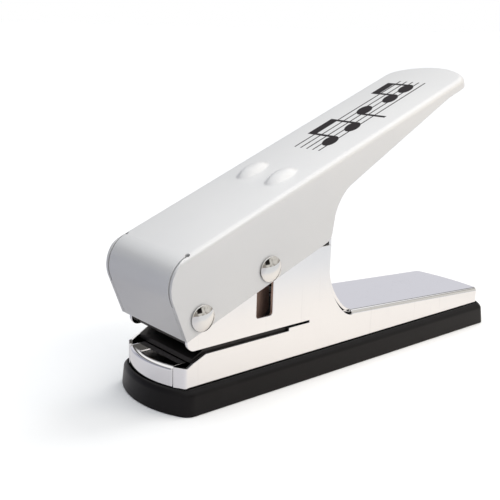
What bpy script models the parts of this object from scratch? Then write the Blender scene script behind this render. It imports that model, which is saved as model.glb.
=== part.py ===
# Guitar pick punch: a squeeze press that stamps plectrums out of plastic cards.
# Sizes are in metres, +Z is up, +X points to the free end of the lever and the press is
# symmetric about Y = 0. The origin is on the table under the middle of the press.
# The lever turns about the pivot pin. The drive pin of the ram runs in the vertical slots
# of the frame, and the lever carries it down by two short slots behind the rivet heads.
import bpy
import bmesh
from math import asin, cos, pi, radians, sin, sqrt, tan
from mathutils import Matrix, Vector
from mathutils.geometry import interpolate_bezier

# Shared fits
GAP = 0.0003                  # running and seating clearance between pieces
OVERRUN = 0.002               # how far a cutter reaches past what it cuts
FINE_STEP = 0.0001            # smallest merge distance

# Frame sheet
FRAME_SHEET = 0.0012
BEND_RADIUS = 0.0015          # outer radius of the folded edges of the frame
JAW_FRONT_X = -0.0721         # front edge of the walls above the throat
TOWER_REAR_X = -0.01195
TOWER_TOP_Z = 0.0452
TOWER_BROW_X = -0.050         # where the top edge starts to slope to the pivot
TOWER_FRONT_Z = 0.0395        # height of the walls ahead of the pivot
TOWER_NOSE_RADIUS = 0.006
BACK_TOP_Z = 0.04705          # top of the back plate, proud of the walls
SWEEP_TOP_Z = 0.034           # where the back of the tower starts to sweep into the platform
SWEEP_SHARE = 0.30            # how far the sweep runs straight down before it turns
SWEEP_RUN_SHARE = 0.48        # how far it has already run level when it meets the platform
PLATFORM_START_X = 0.0005
PLATFORM_START_Z = 0.0194
PLATFORM_SLOPE = radians(3.8)
REAR_APEX_X = 0.0779          # rearmost point of the frame's curved rear flange
REAR_RADIUS = 0.067
FOOT_LENGTH = 0.009           # inward feet that the frame is screwed down by
FOOT_REACH = 0.0075
FOOT_FRONT_X = -0.0165
FOOT_REAR_X = 0.062

# Card throat
THROAT_FLOOR_Z = 0.0192       # top of the die
THROAT_HEIGHT = 0.0010        # room for one card
SLOT_FLOOR_Z = 0.0182         # lower edge of the wide slot in the walls
SLOT_HEIGHT = 0.0019
SLOT_STEP_X = -0.0300         # where the slot narrows to a card's thickness
SLOT_END_X = -0.0206
MOUTH_X = -0.0649             # where the flared mouth ends
MOUTH_LOW_X = -0.0698
MOUTH_LOW_Z = 0.0161
LIP_RADIUS = 0.0028           # upper lip of the mouth

# Front apron
APRON_APEX_X = -0.0771
APRON_RADIUS = 0.030
APRON_TOP_Z = 0.0150
APRON_INSET = 0.0040          # from the walls' outer face to the seam beside the apron
SHELF_X = -0.0655             # where the apron's top shelf ends, under the die

# Pick tooling: the width of the pick sets the width of the whole press
PICK_WIDTH = 0.026
DIE_SIDE_WALL = 0.0014        # steel left beside the pick's hole
PICK_LENGTH = 0.030
PICK_SHOULDER_SHARE = 0.27    # place of the widest point, in lengths from the round end
PICK_HEEL_SHARE = 0.62        # roundness of the wide end
PICK_FLANK_SHARE = 0.36       # fullness of the flanks
PICK_TIP_SHARE = 0.24         # roundness of the tip
TOOL_CLEARANCE = 0.00035      # between punch and die, and punch and stripper
RAM_X = -0.04125
DIE_HEIGHT = 0.0039
DIE_FRONT_X = -0.0690
DIE_NOSE_DROP = 0.0023
TOOLING_REAR_X = -0.0120
STRIPPER_HEIGHT = 0.0030
STRIPPER_FRONT_X = -0.0694
STRIPPER_LIP = 0.0014
PUNCH_LIFT = 0.0020           # rest height of the punch's edge above the stripper's underside
PUNCH_HEIGHT = 0.0134
CHUTE_WALL = 0.0010
JAW_RIVET_X = -0.0160
JAW_RIVET_INSET = 0.0054      # in from the edge of the die
JAW_RIVET_RADIUS = 0.0012
JAW_RIVET_HEAD = 0.0022
JAW_RIVET_HEAD_HEIGHT = 0.0007

# Crosshead, guide posts and return springs
CROSSHEAD_LENGTH = 0.022
CROSSHEAD_WIDTH = 0.012
ARM_TOP_Z = 0.0457
ARM_HEIGHT = 0.0025
EAR_RADIUS = 0.0033
EAR_ROUND_SHARE = 0.98        # corner radius of round-ended outlines, in half widths
POST_RADIUS = 0.0017
POST_FRONT_X = -0.0610
POST_REAR_X = -0.0215
POST_TOP_Z = 0.0472
POST_SPIGOT_RADIUS = 0.0012
CLIP_RADIUS = 0.0030
CLIP_HEIGHT = 0.0006
CLIP_GROOVE = 0.0004
CLIP_MOUTH_SHARE = 0.75       # width of the clip's open side, in post radii
SPRING_RADIUS = 0.0027        # to the middle of the wire
SPRING_WIRE_RADIUS = 0.00035
SPRING_TURNS = 7
PUNCH_SCREW_OFFSET = 0.0075
PUNCH_SCREW_RADIUS = 0.00125
PUNCH_SCREW_HEAD_RADIUS = 0.0023
PUNCH_SCREW_HEAD_HEIGHT = 0.0019
PUNCH_SCREW_DEPTH = 0.0060    # length of thread in the punch
SOCKET_RADIUS = 0.0011
SOCKET_DEPTH = 0.0010

# Pins and rivet heads
PIVOT_X = -0.0680
PIVOT_Z = 0.0311
PIN_Z = 0.0420                # drive pin at rest
PIN_RADIUS = 0.00185
PIN_SLOT_WIDTH = 0.0069
PIN_SLOT_FLOOR_Z = 0.0254
PIN_SLOT_CORNER = 0.0010
HEAD_RADIUS = 0.0043
HEAD_DOME = 0.0013
HEAD_RIM = 0.0003
CAP_DEPTH = 0.0008            # depth of the cap's socket for the pin's end
BUSH_WALL = 0.0010
BUSH_FLANGE = 0.0012
BUSH_FLANGE_RADIUS = 0.0042
DRIVE_SLACK = 0.00015         # extra room across the lever's slots for the swing of the pin

# Lever
LEVER_ANGLE = radians(21.4)
LEVER_SIDE_PLAY = 0.0008      # between the skirts and the walls
LEVER_SHEET = 0.0012
LEVER_TOP = 0.0203            # pivot to the lever's top face
LEVER_NOSE = 0.0077           # pivot to the lever's front face
LEVER_SKIRT = 0.0245          # depth of the deep part of the skirts
LEVER_REACH = 0.1432          # pivot to the rear end
LEVER_END_RADIUS = 0.025
LEVER_CORNER = 0.0075
LEVER_BEND = 0.0022
NOSE_RADIUS = 0.0105
SKIRT_REAR = 0.0548           # pivot to the lower rear corner of the skirts
SKIRT_CORNER = 0.0016
THROAT_OF_GRIP = 0.0636       # pivot to where the skirts turn into the grip
GRIP_DEPTH = 0.0118           # depth of the skirts there
GRIP_SWEEP_RADIUS = 0.014
GRIP_RUNOUT = 0.0180          # from where the grip reaches its least depth to the end
GRIP_END_DEPTH = 0.0038
SEAM_WIDTH = 0.0004
SEAM_TAIL = 0.0016            # how far the seam runs on below the nose bend
RELIEF_RADIUS = 0.0009
DIMPLE_X = 0.0506
DIMPLE_SHARE = 0.394          # place of the dimples, in half widths of the lever
DIMPLE_LENGTH = 0.0124
DIMPLE_WIDTH = 0.0074
DIMPLE_HEIGHT = 0.0016

# Base tray
TRAY_BORDER = 0.0031          # how far the tray's foot stands out past the walls
TRAY_END_BORDER = 0.0023      # the same at the two ends
TRAY_DRAFT = 0.0007
TRAY_RIM_Z = 0.0070
TRAY_LEDGE_Z = 0.0082
TRAY_FLOOR = 0.0020
TRAY_CORNER = 0.0045
TRAY_REAR_CORNER = 0.0030
TRAY_FOOT_CHAMFER = 0.0006
TRAY_LEDGE_WIDTH = 0.0005     # flat of the ledge beside the frame
TRAY_SCREW_RADIUS = 0.0011
TRAY_SCREW_HEAD_RADIUS = 0.0024
TRAY_SCREW_HEAD_HEIGHT = 0.0008
TRAY_SCREW_RECESS = 0.0012
TRAY_SCREW_LENGTH = 0.0058
SLOT_CUT_WIDTH = 0.0007       # cross slot in the screw heads

# Finish of the lever's paint
PEARL_SHARE = 0.1             # how metallic it looks

# Fineness of round forms
ROUND_STEPS = 28
BEND_STEPS = 4
END_STEPS = 10
SWEEP_STEPS = 9
DOME_STEPS = 6
NOSE_STEPS = 8
PICK_STEPS = 9
SPRING_STEPS = 10

# Values worked out from the sizes above
wall_outer = PICK_WIDTH / 2 + DIE_SIDE_WALL + GAP + FRAME_SHEET
wall_inner = wall_outer - FRAME_SHEET
web_half = wall_outer - BEND_RADIUS
wall_front_x = (APRON_APEX_X + APRON_RADIUS
                - sqrt((APRON_RADIUS - BEND_RADIUS) ** 2 - web_half ** 2))
tooling_half = wall_inner - GAP
apron_half = wall_outer - APRON_INSET
jaw_rivet_y = tooling_half - JAW_RIVET_INSET
foot_z = TRAY_FLOOR + GAP
wall_floor_z = foot_z + BEND_RADIUS
stripper_z = THROAT_FLOOR_Z + THROAT_HEIGHT
stripper_top_z = stripper_z + STRIPPER_HEIGHT
die_floor_z = THROAT_FLOOR_Z - DIE_HEIGHT
punch_edge_z = stripper_z + PUNCH_LIFT
punch_top_z = punch_edge_z + PUNCH_HEIGHT
arm_floor_z = ARM_TOP_Z - ARM_HEIGHT
lever_outer = wall_outer + LEVER_SIDE_PLAY + LEVER_SHEET
lever_inner = lever_outer - LEVER_SHEET
grip_end = LEVER_REACH - GRIP_RUNOUT
dimple_y = lever_outer * DIMPLE_SHARE
head_seat = lever_outer + GAP
pin_bore = PIN_RADIUS + GAP
bush_radius = PIN_SLOT_WIDTH / 2 - GAP
lever_turn = Matrix.Rotation(-LEVER_ANGLE, 4, 'Y')


def clear_scene():
    for thing in list(bpy.data.objects):
        bpy.data.objects.remove(thing, do_unlink=True)


def finish(name, color, roughness, metallic):
    surface = bpy.data.materials.new(name)
    surface.use_nodes = True
    shader = surface.node_tree.nodes["Principled BSDF"]
    shader.inputs["Base Color"].default_value = (*color, 1)
    shader.inputs["Roughness"].default_value = roughness
    shader.inputs["Metallic"].default_value = metallic
    return surface


def place(name, bm, surface=None, parent=None, smooth=radians(35)):
    bmesh.ops.remove_doubles(bm, verts=bm.verts, dist=FINE_STEP / 100)
    bmesh.ops.recalc_face_normals(bm, faces=bm.faces)
    mesh = bpy.data.meshes.new(name)
    bm.to_mesh(mesh)
    bm.free()
    thing = bpy.data.objects.new(name, mesh)
    bpy.context.scene.collection.objects.link(thing)
    mesh.shade_smooth()
    mesh.set_sharp_from_angle(angle=smooth)
    if surface:
        mesh.materials.append(surface)
    if parent:
        thing.parent = parent
    return thing


def axis_point(name, x, z, turn=0):
    mark = bpy.data.objects.new(name, None)
    mark.location = (x, 0, z)
    mark.rotation_euler = (0, turn, 0)
    bpy.context.scene.collection.objects.link(mark)
    return mark


def combine(target, tool, operation):
    tool.hide_render = True
    tool.display_type = 'WIRE'
    step = target.modifiers.new(tool.name, 'BOOLEAN')
    step.object = tool
    step.operation = operation
    step.solver = 'EXACT'


def cut(target, *tools):
    for tool in tools:
        combine(target, tool, 'DIFFERENCE')


# Lets the large flat faces set the shading beside their small bends.
def even_shading(thing):
    thing.modifiers.new("shading", 'WEIGHTED_NORMAL').keep_sharp = True


# A corner list holds (a, b, radius) entries; a radius turns the corner into an arc.
def rounded(corners, steps=BEND_STEPS):
    outline = []
    for i, (a, b, radius) in enumerate(corners):
        here = Vector((a, b))
        if not radius:
            outline.append(here)
            continue
        before = (Vector(corners[i - 1][:2]) - here).normalized()
        after = (Vector(corners[(i + 1) % len(corners)][:2]) - here).normalized()
        half = before.angle(after) / 2
        centre = here + (before + after).normalized() * radius / sin(half)
        start = here + before * radius / tan(half) - centre
        sweep = start.angle_signed(here + after * radius / tan(half) - centre)
        for k in range(steps + 1):
            turned_by = -sweep * k / steps
            outline.append(centre + Matrix.Rotation(turned_by, 2) @ start)
    return outline


# Extrudes a flat outline along one axis between two places on it.
def prism(outline, low, high, axis='Y'):
    seat = {'X': lambda a, b, c: (c, a, b),
            'Y': lambda a, b, c: (a, c, b),
            'Z': lambda a, b, c: (a, b, c)}[axis]
    bm = bmesh.new()
    face = bm.faces.new([bm.verts.new(seat(a, b, low)) for a, b in outline])
    grown = bmesh.ops.extrude_face_region(bm, geom=[face])
    moved = [item for item in grown["geom"] if isinstance(item, bmesh.types.BMVert)]
    bmesh.ops.translate(bm, verts=moved, vec=seat(0, 0, high - low))
    return bm


def block(low, high):
    outline = [(low[0], low[1]), (high[0], low[1]), (high[0], high[1]), (low[0], high[1])]
    return prism(outline, low[2], high[2], 'Z')


# Turns a profile of (radius, height) points about an axis through the given place.
def turned(profile, place_at=(0, 0, 0), axis='Z', closed=False, steps=ROUND_STEPS):
    bm = bmesh.new()
    along = Vector((0, 1, 0)) if axis == 'Y' else Vector((0, 0, 1))
    centre = Vector(place_at)
    points = [bm.verts.new(centre + Vector((radius, 0, 0)) + along * height)
              for radius, height in profile]
    for first, second in zip(points, points[1:]):
        bm.edges.new((first, second))
    if closed:
        bm.edges.new((points[-1], points[0]))
    bmesh.ops.spin(bm, geom=bm.verts[:] + bm.edges[:], cent=centre, axis=along,
                   angle=2 * pi, steps=steps, use_merge=True)
    return bm


def rod(radius, low, high):
    return [(0, low), (radius, low), (radius, high), (0, high)]


def tube(bore, radius, low, high):
    return [(bore, low), (radius, low), (radius, high), (bore, high)]


# One outline of the pick, tip to the rear, grown on all sides by a clearance.
def pick_outline(grow=0):
    half = PICK_WIDTH / 2 + grow
    long = PICK_LENGTH + 2 * grow
    heel = Vector((RAM_X - long / 2, 0))
    tip = Vector((RAM_X + long / 2, 0))
    shoulder = Vector((RAM_X - long / 2 + long * PICK_SHOULDER_SHARE, half))
    heel_arc = interpolate_bezier(
        heel, heel + Vector((0, half * PICK_HEEL_SHARE)),
        shoulder - Vector((long * PICK_SHOULDER_SHARE * PICK_HEEL_SHARE, 0)), shoulder, PICK_STEPS)
    flank = interpolate_bezier(
        shoulder, shoulder + Vector((long * PICK_FLANK_SHARE, 0)),
        tip + Vector((0, half * PICK_TIP_SHARE)), tip, PICK_STEPS)
    upper = [Vector(p[:2]) for p in heel_arc[:-1] + flank]
    lower = [Vector((p.x, -p.y)) for p in reversed(upper[1:-1])]
    return upper + lower


# Plan outline of the frame or, grown at its sides and ends, of the tray that holds it.
def base_outline(grow, end_grow, front_corner, rear_corner):
    half = wall_outer + grow
    front_radius = APRON_RADIUS + end_grow
    rear_radius = REAR_RADIUS + end_grow
    front = [(APRON_APEX_X + APRON_RADIUS - sqrt(front_radius ** 2 - y ** 2), y)
             for y in spread(-half, half, END_STEPS)]
    rear = [(REAR_APEX_X - REAR_RADIUS + sqrt(rear_radius ** 2 - y ** 2), y)
            for y in spread(half, -half, END_STEPS)]
    corners = [(x, y, 0) for x, y in front + rear]
    for index in (0, END_STEPS):
        corners[index] = (*front[index], front_corner)
    for index in (0, END_STEPS):
        corners[END_STEPS + 1 + index] = (*rear[index], rear_corner)
    return rounded(corners)


def spread(low, high, steps):
    return [low + (high - low) * k / steps for k in range(steps + 1)]


# Height of the platform's top face at a place along the frame.
def platform_z(x):
    return PLATFORM_START_Z - (x - PLATFORM_START_X) * tan(PLATFORM_SLOPE)


# Edge of the walls from the tower's back down to the platform.
def sweep_points():
    top = Vector((TOWER_REAR_X, SWEEP_TOP_Z))
    low = Vector((PLATFORM_START_X, platform_z(PLATFORM_START_X) - BEND_RADIUS))
    drop = top.y - low.y
    run = low.x - top.x
    level = Vector((cos(PLATFORM_SLOPE), -sin(PLATFORM_SLOPE)))
    return [Vector(p[:2]) for p in interpolate_bezier(
        top, top - Vector((0, drop * SWEEP_SHARE)),
        low - level * run * SWEEP_RUN_SHARE, low, SWEEP_STEPS)]


def rear_edge_x(y):
    return REAR_APEX_X - BEND_RADIUS - (REAR_RADIUS - sqrt(REAR_RADIUS ** 2 - y ** 2))


def make_tray(rubber):
    foot, end = TRAY_BORDER, TRAY_END_BORDER
    ledge = GAP + TRAY_LEDGE_WIDTH
    rings = [(foot - TRAY_FOOT_CHAMFER, end - TRAY_FOOT_CHAMFER, 0), (foot, end, TRAY_FOOT_CHAMFER),
             (foot - TRAY_DRAFT, end - TRAY_DRAFT, TRAY_RIM_Z), (ledge, ledge, TRAY_LEDGE_Z)]
    bm = bmesh.new()
    loops = []
    for grow, end_grow, z in rings:
        points = [bm.verts.new((x, y, z))
                  for x, y in base_outline(grow, end_grow, TRAY_CORNER, TRAY_REAR_CORNER)]
        loops.append([bm.edges.new((a, b)) for a, b in zip(points, points[1:] + points[:1])])
    for lower, upper in zip(loops, loops[1:]):
        bmesh.ops.bridge_loops(bm, edges=lower + upper)
    bmesh.ops.contextual_create(bm, geom=loops[0])
    bmesh.ops.contextual_create(bm, geom=loops[-1])
    tray = place("base_tray", bm, rubber)
    well = prism(base_outline(GAP, GAP, BEND_RADIUS + GAP, BEND_RADIUS + GAP),
                 TRAY_FLOOR, TRAY_LEDGE_Z + OVERRUN, 'Z')
    half_length = chute_half_length()
    half_width = tooling_half - CHUTE_WALL
    drop = block((RAM_X - half_length, -half_width, -OVERRUN),
                 (RAM_X + half_length, half_width, TRAY_FLOOR + OVERRUN))
    cut(tray, place("tray_well", well), place("tray_drop", drop))
    for index, (x, y) in enumerate(foot_places()):
        recess = [(0, -OVERRUN), (TRAY_SCREW_HEAD_RADIUS + GAP, -OVERRUN),
                  (TRAY_SCREW_HEAD_RADIUS + GAP, TRAY_SCREW_RECESS),
                  (TRAY_SCREW_RADIUS + GAP, TRAY_SCREW_RECESS),
                  (TRAY_SCREW_RADIUS + GAP, TRAY_FLOOR + OVERRUN), (0, TRAY_FLOOR + OVERRUN)]
        cut(tray, place(f"tray_screw_hole_{index}", turned(recess, (x, y, 0), steps=16)))
    even_shading(tray)


def foot_places():
    y = wall_inner - FOOT_REACH / 2
    return [(x, side * y) for x in (FOOT_FRONT_X, FOOT_REAR_X) for side in (-1, 1)]


def make_tray_screws(steel):
    profile = [(0, TRAY_SCREW_RECESS - GAP - TRAY_SCREW_HEAD_HEIGHT),
               (TRAY_SCREW_HEAD_RADIUS, TRAY_SCREW_RECESS - GAP - TRAY_SCREW_HEAD_HEIGHT),
               (TRAY_SCREW_HEAD_RADIUS, TRAY_SCREW_RECESS - GAP),
               (TRAY_SCREW_RADIUS, TRAY_SCREW_RECESS - GAP),
               (TRAY_SCREW_RADIUS, TRAY_SCREW_LENGTH), (0, TRAY_SCREW_LENGTH)]
    for index, (x, y) in enumerate(foot_places(), 1):
        place(f"tray_screw_{index}", turned(profile, (x, y, 0), steps=16), steel)


def wall_outline():
    slot_left = RAM_X - PIN_SLOT_WIDTH / 2
    slot_right = RAM_X + PIN_SLOT_WIDTH / 2
    slot_top = SLOT_FLOOR_Z + SLOT_HEIGHT
    step_z = THROAT_FLOOR_Z + FINE_STEP
    wall_end = rear_edge_x(web_half)
    feet = [(x + side * FOOT_LENGTH / 2, wall_floor_z, 0)
            for x in (FOOT_REAR_X, FOOT_FRONT_X) for side in (1, -1)]
    corners = [
        (wall_end, wall_floor_z, 0), *feet,
        (wall_front_x, wall_floor_z, 0), (wall_front_x, APRON_TOP_Z, 0),
        (MOUTH_LOW_X, MOUTH_LOW_Z, 0), (MOUTH_X, SLOT_FLOOR_Z, 0),
        (SLOT_STEP_X, SLOT_FLOOR_Z, 0), (SLOT_STEP_X, step_z, 0),
        (SLOT_END_X, step_z, 0), (SLOT_END_X, slot_top, 0),
        (JAW_FRONT_X, slot_top, LIP_RADIUS), (JAW_FRONT_X, TOWER_FRONT_Z, TOWER_NOSE_RADIUS),
        (TOWER_BROW_X, TOWER_TOP_Z, 0), (slot_left, TOWER_TOP_Z, 0),
        (slot_left, PIN_SLOT_FLOOR_Z, PIN_SLOT_CORNER),
        (slot_right, PIN_SLOT_FLOOR_Z, PIN_SLOT_CORNER), (slot_right, TOWER_TOP_Z, 0),
        (TOWER_REAR_X, TOWER_TOP_Z, 0)]
    corners += [(p.x, p.y, 0) for p in sweep_points()]
    corners.append((wall_end, platform_z(wall_end) - BEND_RADIUS, 0))
    return rounded(corners)


def nearest_vert(verts, x, z):
    return min(verts, key=lambda v: (v.co.x - x) ** 2 + (v.co.z - z) ** 2)


def edge_between(verts, start, end):
    first = nearest_vert(verts, *start)
    second = nearest_vert(verts, *end)
    return next(e for e in first.link_edges if second in e.verts)


# Folds an edge round an axis and returns the edge that the fold ends in.
def fold(bm, edge, centre, axis, angle):
    spun = bmesh.ops.spin(bm, geom=[edge, *edge.verts], cent=centre, axis=axis,
                          angle=angle, steps=BEND_STEPS)
    return next(item for item in spun["geom_last"] if isinstance(item, bmesh.types.BMEdge))


def stretch(bm, edge, offset):
    grown = bmesh.ops.extrude_edge_only(bm, edges=[edge])["geom"]
    verts = [item for item in grown if isinstance(item, bmesh.types.BMVert)]
    bmesh.ops.translate(bm, verts=verts, vec=offset)
    return next(item for item in grown
                if isinstance(item, bmesh.types.BMEdge) and set(item.verts) == set(verts))


# The frame is one folded sheet: two walls, the platform between them, the back plate that
# the platform runs up into, the curved rear flange, the front corner wraps and the feet.
def make_frame(chrome):
    bm = bmesh.new()
    wall = [bm.verts.new((x, -wall_outer, z)) for x, z in wall_outline()]
    bm.faces.new(wall)
    wall_end = rear_edge_x(web_half)
    sweep = sweep_points()
    low_front = sweep[-1]
    low_rear = (wall_end, platform_z(wall_end) - BEND_RADIUS)

    ridge = edge_between(wall, low_front, low_rear)
    along = Vector((low_rear[0] - low_front.x, 0, low_rear[1] - low_front.y)).normalized()
    centre = Vector((low_front.x, -web_half, low_front.y))
    web_edge = fold(bm, ridge, centre, along, -pi / 2)
    front, rear = sorted(web_edge.verts, key=lambda v: v.co.x)
    lift = rear.co.z - low_rear[1]
    middle = bm.verts.new((front.co.x, 0, front.co.z))
    edge_row = [rear]
    for y in spread(-web_half, 0, END_STEPS // 2)[1:]:
        x = rear_edge_x(y)
        edge_row.append(bm.verts.new((x, y, platform_z(x) - BEND_RADIUS + lift)))
    bm.faces.new([front, *edge_row, middle])
    fold_rear_flange(bm, edge_row)
    raise_back_plate(bm, front, middle, sweep)
    wrap_corner(bm, wall)
    for x in (FOOT_FRONT_X, FOOT_REAR_X):
        edge = edge_between(wall, (x - FOOT_LENGTH / 2, wall_floor_z),
                            (x + FOOT_LENGTH / 2, wall_floor_z))
        bent = fold(bm, edge, (x, -web_half, wall_floor_z), (1, 0, 0), pi / 2)
        stretch(bm, bent, (0, FOOT_REACH, 0))

    bmesh.ops.mirror(bm, geom=bm.verts[:] + bm.edges[:] + bm.faces[:], axis='Y',
                     merge_dist=FINE_STEP / 100)
    frame = place("frame_shell", bm, chrome)
    sheet = frame.modifiers.new("sheet", 'SOLIDIFY')
    sheet.thickness = FRAME_SHEET
    sheet.offset = -1
    sheet.use_even_offset = True
    hole = turned(rod(bush_radius_pivot() + GAP, -wall_outer - OVERRUN, wall_outer + OVERRUN),
                  (PIVOT_X, 0, PIVOT_Z), 'Y')
    cut(frame, place("pivot_holes", hole))
    for index, (x, y) in enumerate(foot_places()):
        drill = turned(rod(TRAY_SCREW_RADIUS + GAP, foot_z - OVERRUN, foot_z + OVERRUN + FRAME_SHEET),
                       (x, y, 0), steps=16)
        cut(frame, place(f"foot_hole_{index}", drill))
    even_shading(frame)


def bush_radius_pivot():
    return pin_bore + BUSH_WALL


def fold_rear_flange(bm, row):
    for step in range(1, BEND_STEPS + 2):
        angle = min(step, BEND_STEPS) * pi / 2 / BEND_STEPS
        fresh = []
        for vert, y in zip(row, spread(-web_half, 0, END_STEPS // 2)):
            lean = asin(y / REAR_RADIUS)
            outward = Vector((cos(lean), sin(lean), 0))
            x = rear_edge_x(y)
            base = Vector((x, y, platform_z(x) - BEND_RADIUS))
            spot = base + outward * BEND_RADIUS * sin(angle)
            spot.z = base.z + BEND_RADIUS * cos(angle)
            if step > BEND_STEPS:
                spot.z = wall_floor_z
            fresh.append(bm.verts.new(spot))
        for i in range(len(row) - 1):
            bm.faces.new([row[i], fresh[i], fresh[i + 1], row[i + 1]])
        row = fresh


def raise_back_plate(bm, side, middle, sweep):
    shift = Vector((BEND_RADIUS, BEND_RADIUS))
    top = Vector((TOWER_REAR_X + BEND_RADIUS, BACK_TOP_Z))
    path = [point + shift for point in reversed(sweep[:-1])] + [top]
    for point in path:
        next_side = bm.verts.new((point.x, -web_half, point.y))
        next_middle = bm.verts.new((point.x, 0, point.y))
        bm.faces.new([side, middle, next_middle, next_side])
        side, middle = next_side, next_middle


# The front edges of the walls turn in along the curve of the apron.
def wrap_corner(bm, wall):
    seam_y = apron_half + GAP
    lean = asin(web_half / (APRON_RADIUS - BEND_RADIUS))
    turn = pi / 2 - lean
    edge = edge_between(wall, (wall_front_x, wall_floor_z), (wall_front_x, APRON_TOP_Z))
    bent = fold(bm, edge, (wall_front_x, -web_half, 0), (0, 0, 1), -turn)
    reach = (-bent.verts[0].co.y - seam_y) / cos(lean)
    stretch(bm, bent, (-sin(lean) * reach, cos(lean) * reach, 0))


def make_apron(chrome):
    bm = bmesh.new()
    ys = spread(-apron_half, apron_half, END_STEPS)
    leans = [asin(y / APRON_RADIUS) for y in ys]
    centre_x = APRON_APEX_X + APRON_RADIUS
    rows = [[(0, foot_z)] * len(ys)]
    for k in range(BEND_STEPS + 1):
        angle = k * pi / 2 / BEND_STEPS
        inset = BEND_RADIUS * (1 - cos(angle))
        rows.append([(inset, APRON_TOP_Z - BEND_RADIUS * (1 - sin(angle)))] * len(ys))
    grid = []
    for row in rows:
        grid.append([bm.verts.new((centre_x - (APRON_RADIUS - inset) * cos(lean),
                                   (APRON_RADIUS - inset) * sin(lean), z))
                     for lean, (inset, z) in zip(leans, row)])
    shelf = [bm.verts.new((SHELF_X, vert.co.y, APRON_TOP_Z)) for vert in grid[-1]]
    grid.append(shelf)
    for lower, upper in zip(grid, grid[1:]):
        for i in range(len(ys) - 1):
            bm.faces.new([lower[i], upper[i], upper[i + 1], lower[i + 1]])
    apron = place("front_apron", bm, chrome)
    sheet = apron.modifiers.new("sheet", 'SOLIDIFY')
    sheet.thickness = FRAME_SHEET
    sheet.offset = -1
    sheet.use_even_offset = True
    even_shading(apron)


def chute_half_length():
    return PICK_LENGTH / 2 + TOOL_CLEARANCE + GAP


def make_chute(plastic):
    half_length = chute_half_length()
    half_width = tooling_half - CHUTE_WALL
    low, high = foot_z, die_floor_z - GAP
    outer = block((RAM_X - half_length - CHUTE_WALL, -tooling_half, low),
                  (RAM_X + half_length + CHUTE_WALL, tooling_half, high))
    chute = place("pick_chute", outer, plastic)
    cut(chute, place("chute_bore", block((RAM_X - half_length, -half_width, low - OVERRUN),
                                         (RAM_X + half_length, half_width, high + OVERRUN))))


def jaw_rivet_holes(low, high, tag):
    return [place(f"{tag}_rivet_hole_{index}",
                  turned(rod(JAW_RIVET_RADIUS + GAP, low - OVERRUN, high + OVERRUN),
                         (JAW_RIVET_X, y, 0), steps=16))
            for index, y in enumerate((-jaw_rivet_y, jaw_rivet_y))]


def make_die(tool_steel):
    side = [(DIE_FRONT_X, die_floor_z), (TOOLING_REAR_X, die_floor_z),
            (TOOLING_REAR_X, THROAT_FLOOR_Z), (MOUTH_X, THROAT_FLOOR_Z),
            (DIE_FRONT_X, THROAT_FLOOR_Z - DIE_NOSE_DROP)]
    die = place("die_plate", prism(side, -tooling_half, tooling_half), tool_steel)
    hole = prism(pick_outline(TOOL_CLEARANCE), die_floor_z - OVERRUN, THROAT_FLOOR_Z + OVERRUN, 'Z')
    cut(die, place("die_pick_hole", hole), *jaw_rivet_holes(die_floor_z, THROAT_FLOOR_Z, "die"))


def make_card_stop(steel):
    low, high = THROAT_FLOOR_Z + GAP, stripper_z - GAP
    stop = place("card_stop", block((SLOT_END_X + GAP, -tooling_half, low),
                                    (TOOLING_REAR_X, tooling_half, high)), steel)
    cut(stop, *jaw_rivet_holes(low, high, "stop"))


def make_stripper(steel):
    side = rounded([(STRIPPER_FRONT_X, stripper_z, STRIPPER_LIP), (TOOLING_REAR_X, stripper_z, 0),
                    (TOOLING_REAR_X, stripper_top_z, 0), (STRIPPER_FRONT_X, stripper_top_z, 0)])
    stripper = place("stripper_plate", prism(side, -tooling_half, tooling_half), steel)
    hole = prism(pick_outline(TOOL_CLEARANCE), stripper_z - OVERRUN, stripper_top_z + OVERRUN, 'Z')
    cut(stripper, place("stripper_pick_hole", hole),
        *jaw_rivet_holes(stripper_z, stripper_top_z, "stripper"))
    for name, x in (("front", POST_FRONT_X), ("rear", POST_REAR_X)):
        seat = turned(rod(POST_SPIGOT_RADIUS + GAP, stripper_z - OVERRUN, stripper_top_z + OVERRUN),
                      (x, 0, 0), steps=16)
        cut(stripper, place(f"post_seat_{name}", seat))


def make_jaw_rivets(steel):
    low = die_floor_z - GAP
    high = stripper_top_z + GAP
    profile = [(0, low - JAW_RIVET_HEAD_HEIGHT), (JAW_RIVET_HEAD, low - JAW_RIVET_HEAD_HEIGHT),
               (JAW_RIVET_HEAD, low), (JAW_RIVET_RADIUS, low), (JAW_RIVET_RADIUS, high),
               (JAW_RIVET_HEAD, high), (JAW_RIVET_HEAD, high + JAW_RIVET_HEAD_HEIGHT),
               (0, high + JAW_RIVET_HEAD_HEIGHT)]
    for name, y in (("near", -jaw_rivet_y), ("far", jaw_rivet_y)):
        place(f"jaw_rivet_{name}", turned(profile, (JAW_RIVET_X, y, 0), steps=16), steel)


def clip_z():
    return ARM_TOP_Z + GAP


def make_guide_post(name, x, steel):
    seat = stripper_top_z + GAP
    groove = clip_z() - CLIP_GROOVE / 2
    groove_top = clip_z() + CLIP_HEIGHT + CLIP_GROOVE / 2
    neck = POST_RADIUS - CLIP_GROOVE
    profile = [(0, stripper_z + GAP), (POST_SPIGOT_RADIUS, stripper_z + GAP),
               (POST_SPIGOT_RADIUS, seat), (POST_RADIUS, seat), (POST_RADIUS, groove),
               (neck, groove), (neck, groove_top), (POST_RADIUS, groove_top),
               (POST_RADIUS, POST_TOP_Z), (0, POST_TOP_Z)]
    place(name, turned(profile, (x, 0, 0), steps=20), steel)


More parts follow.
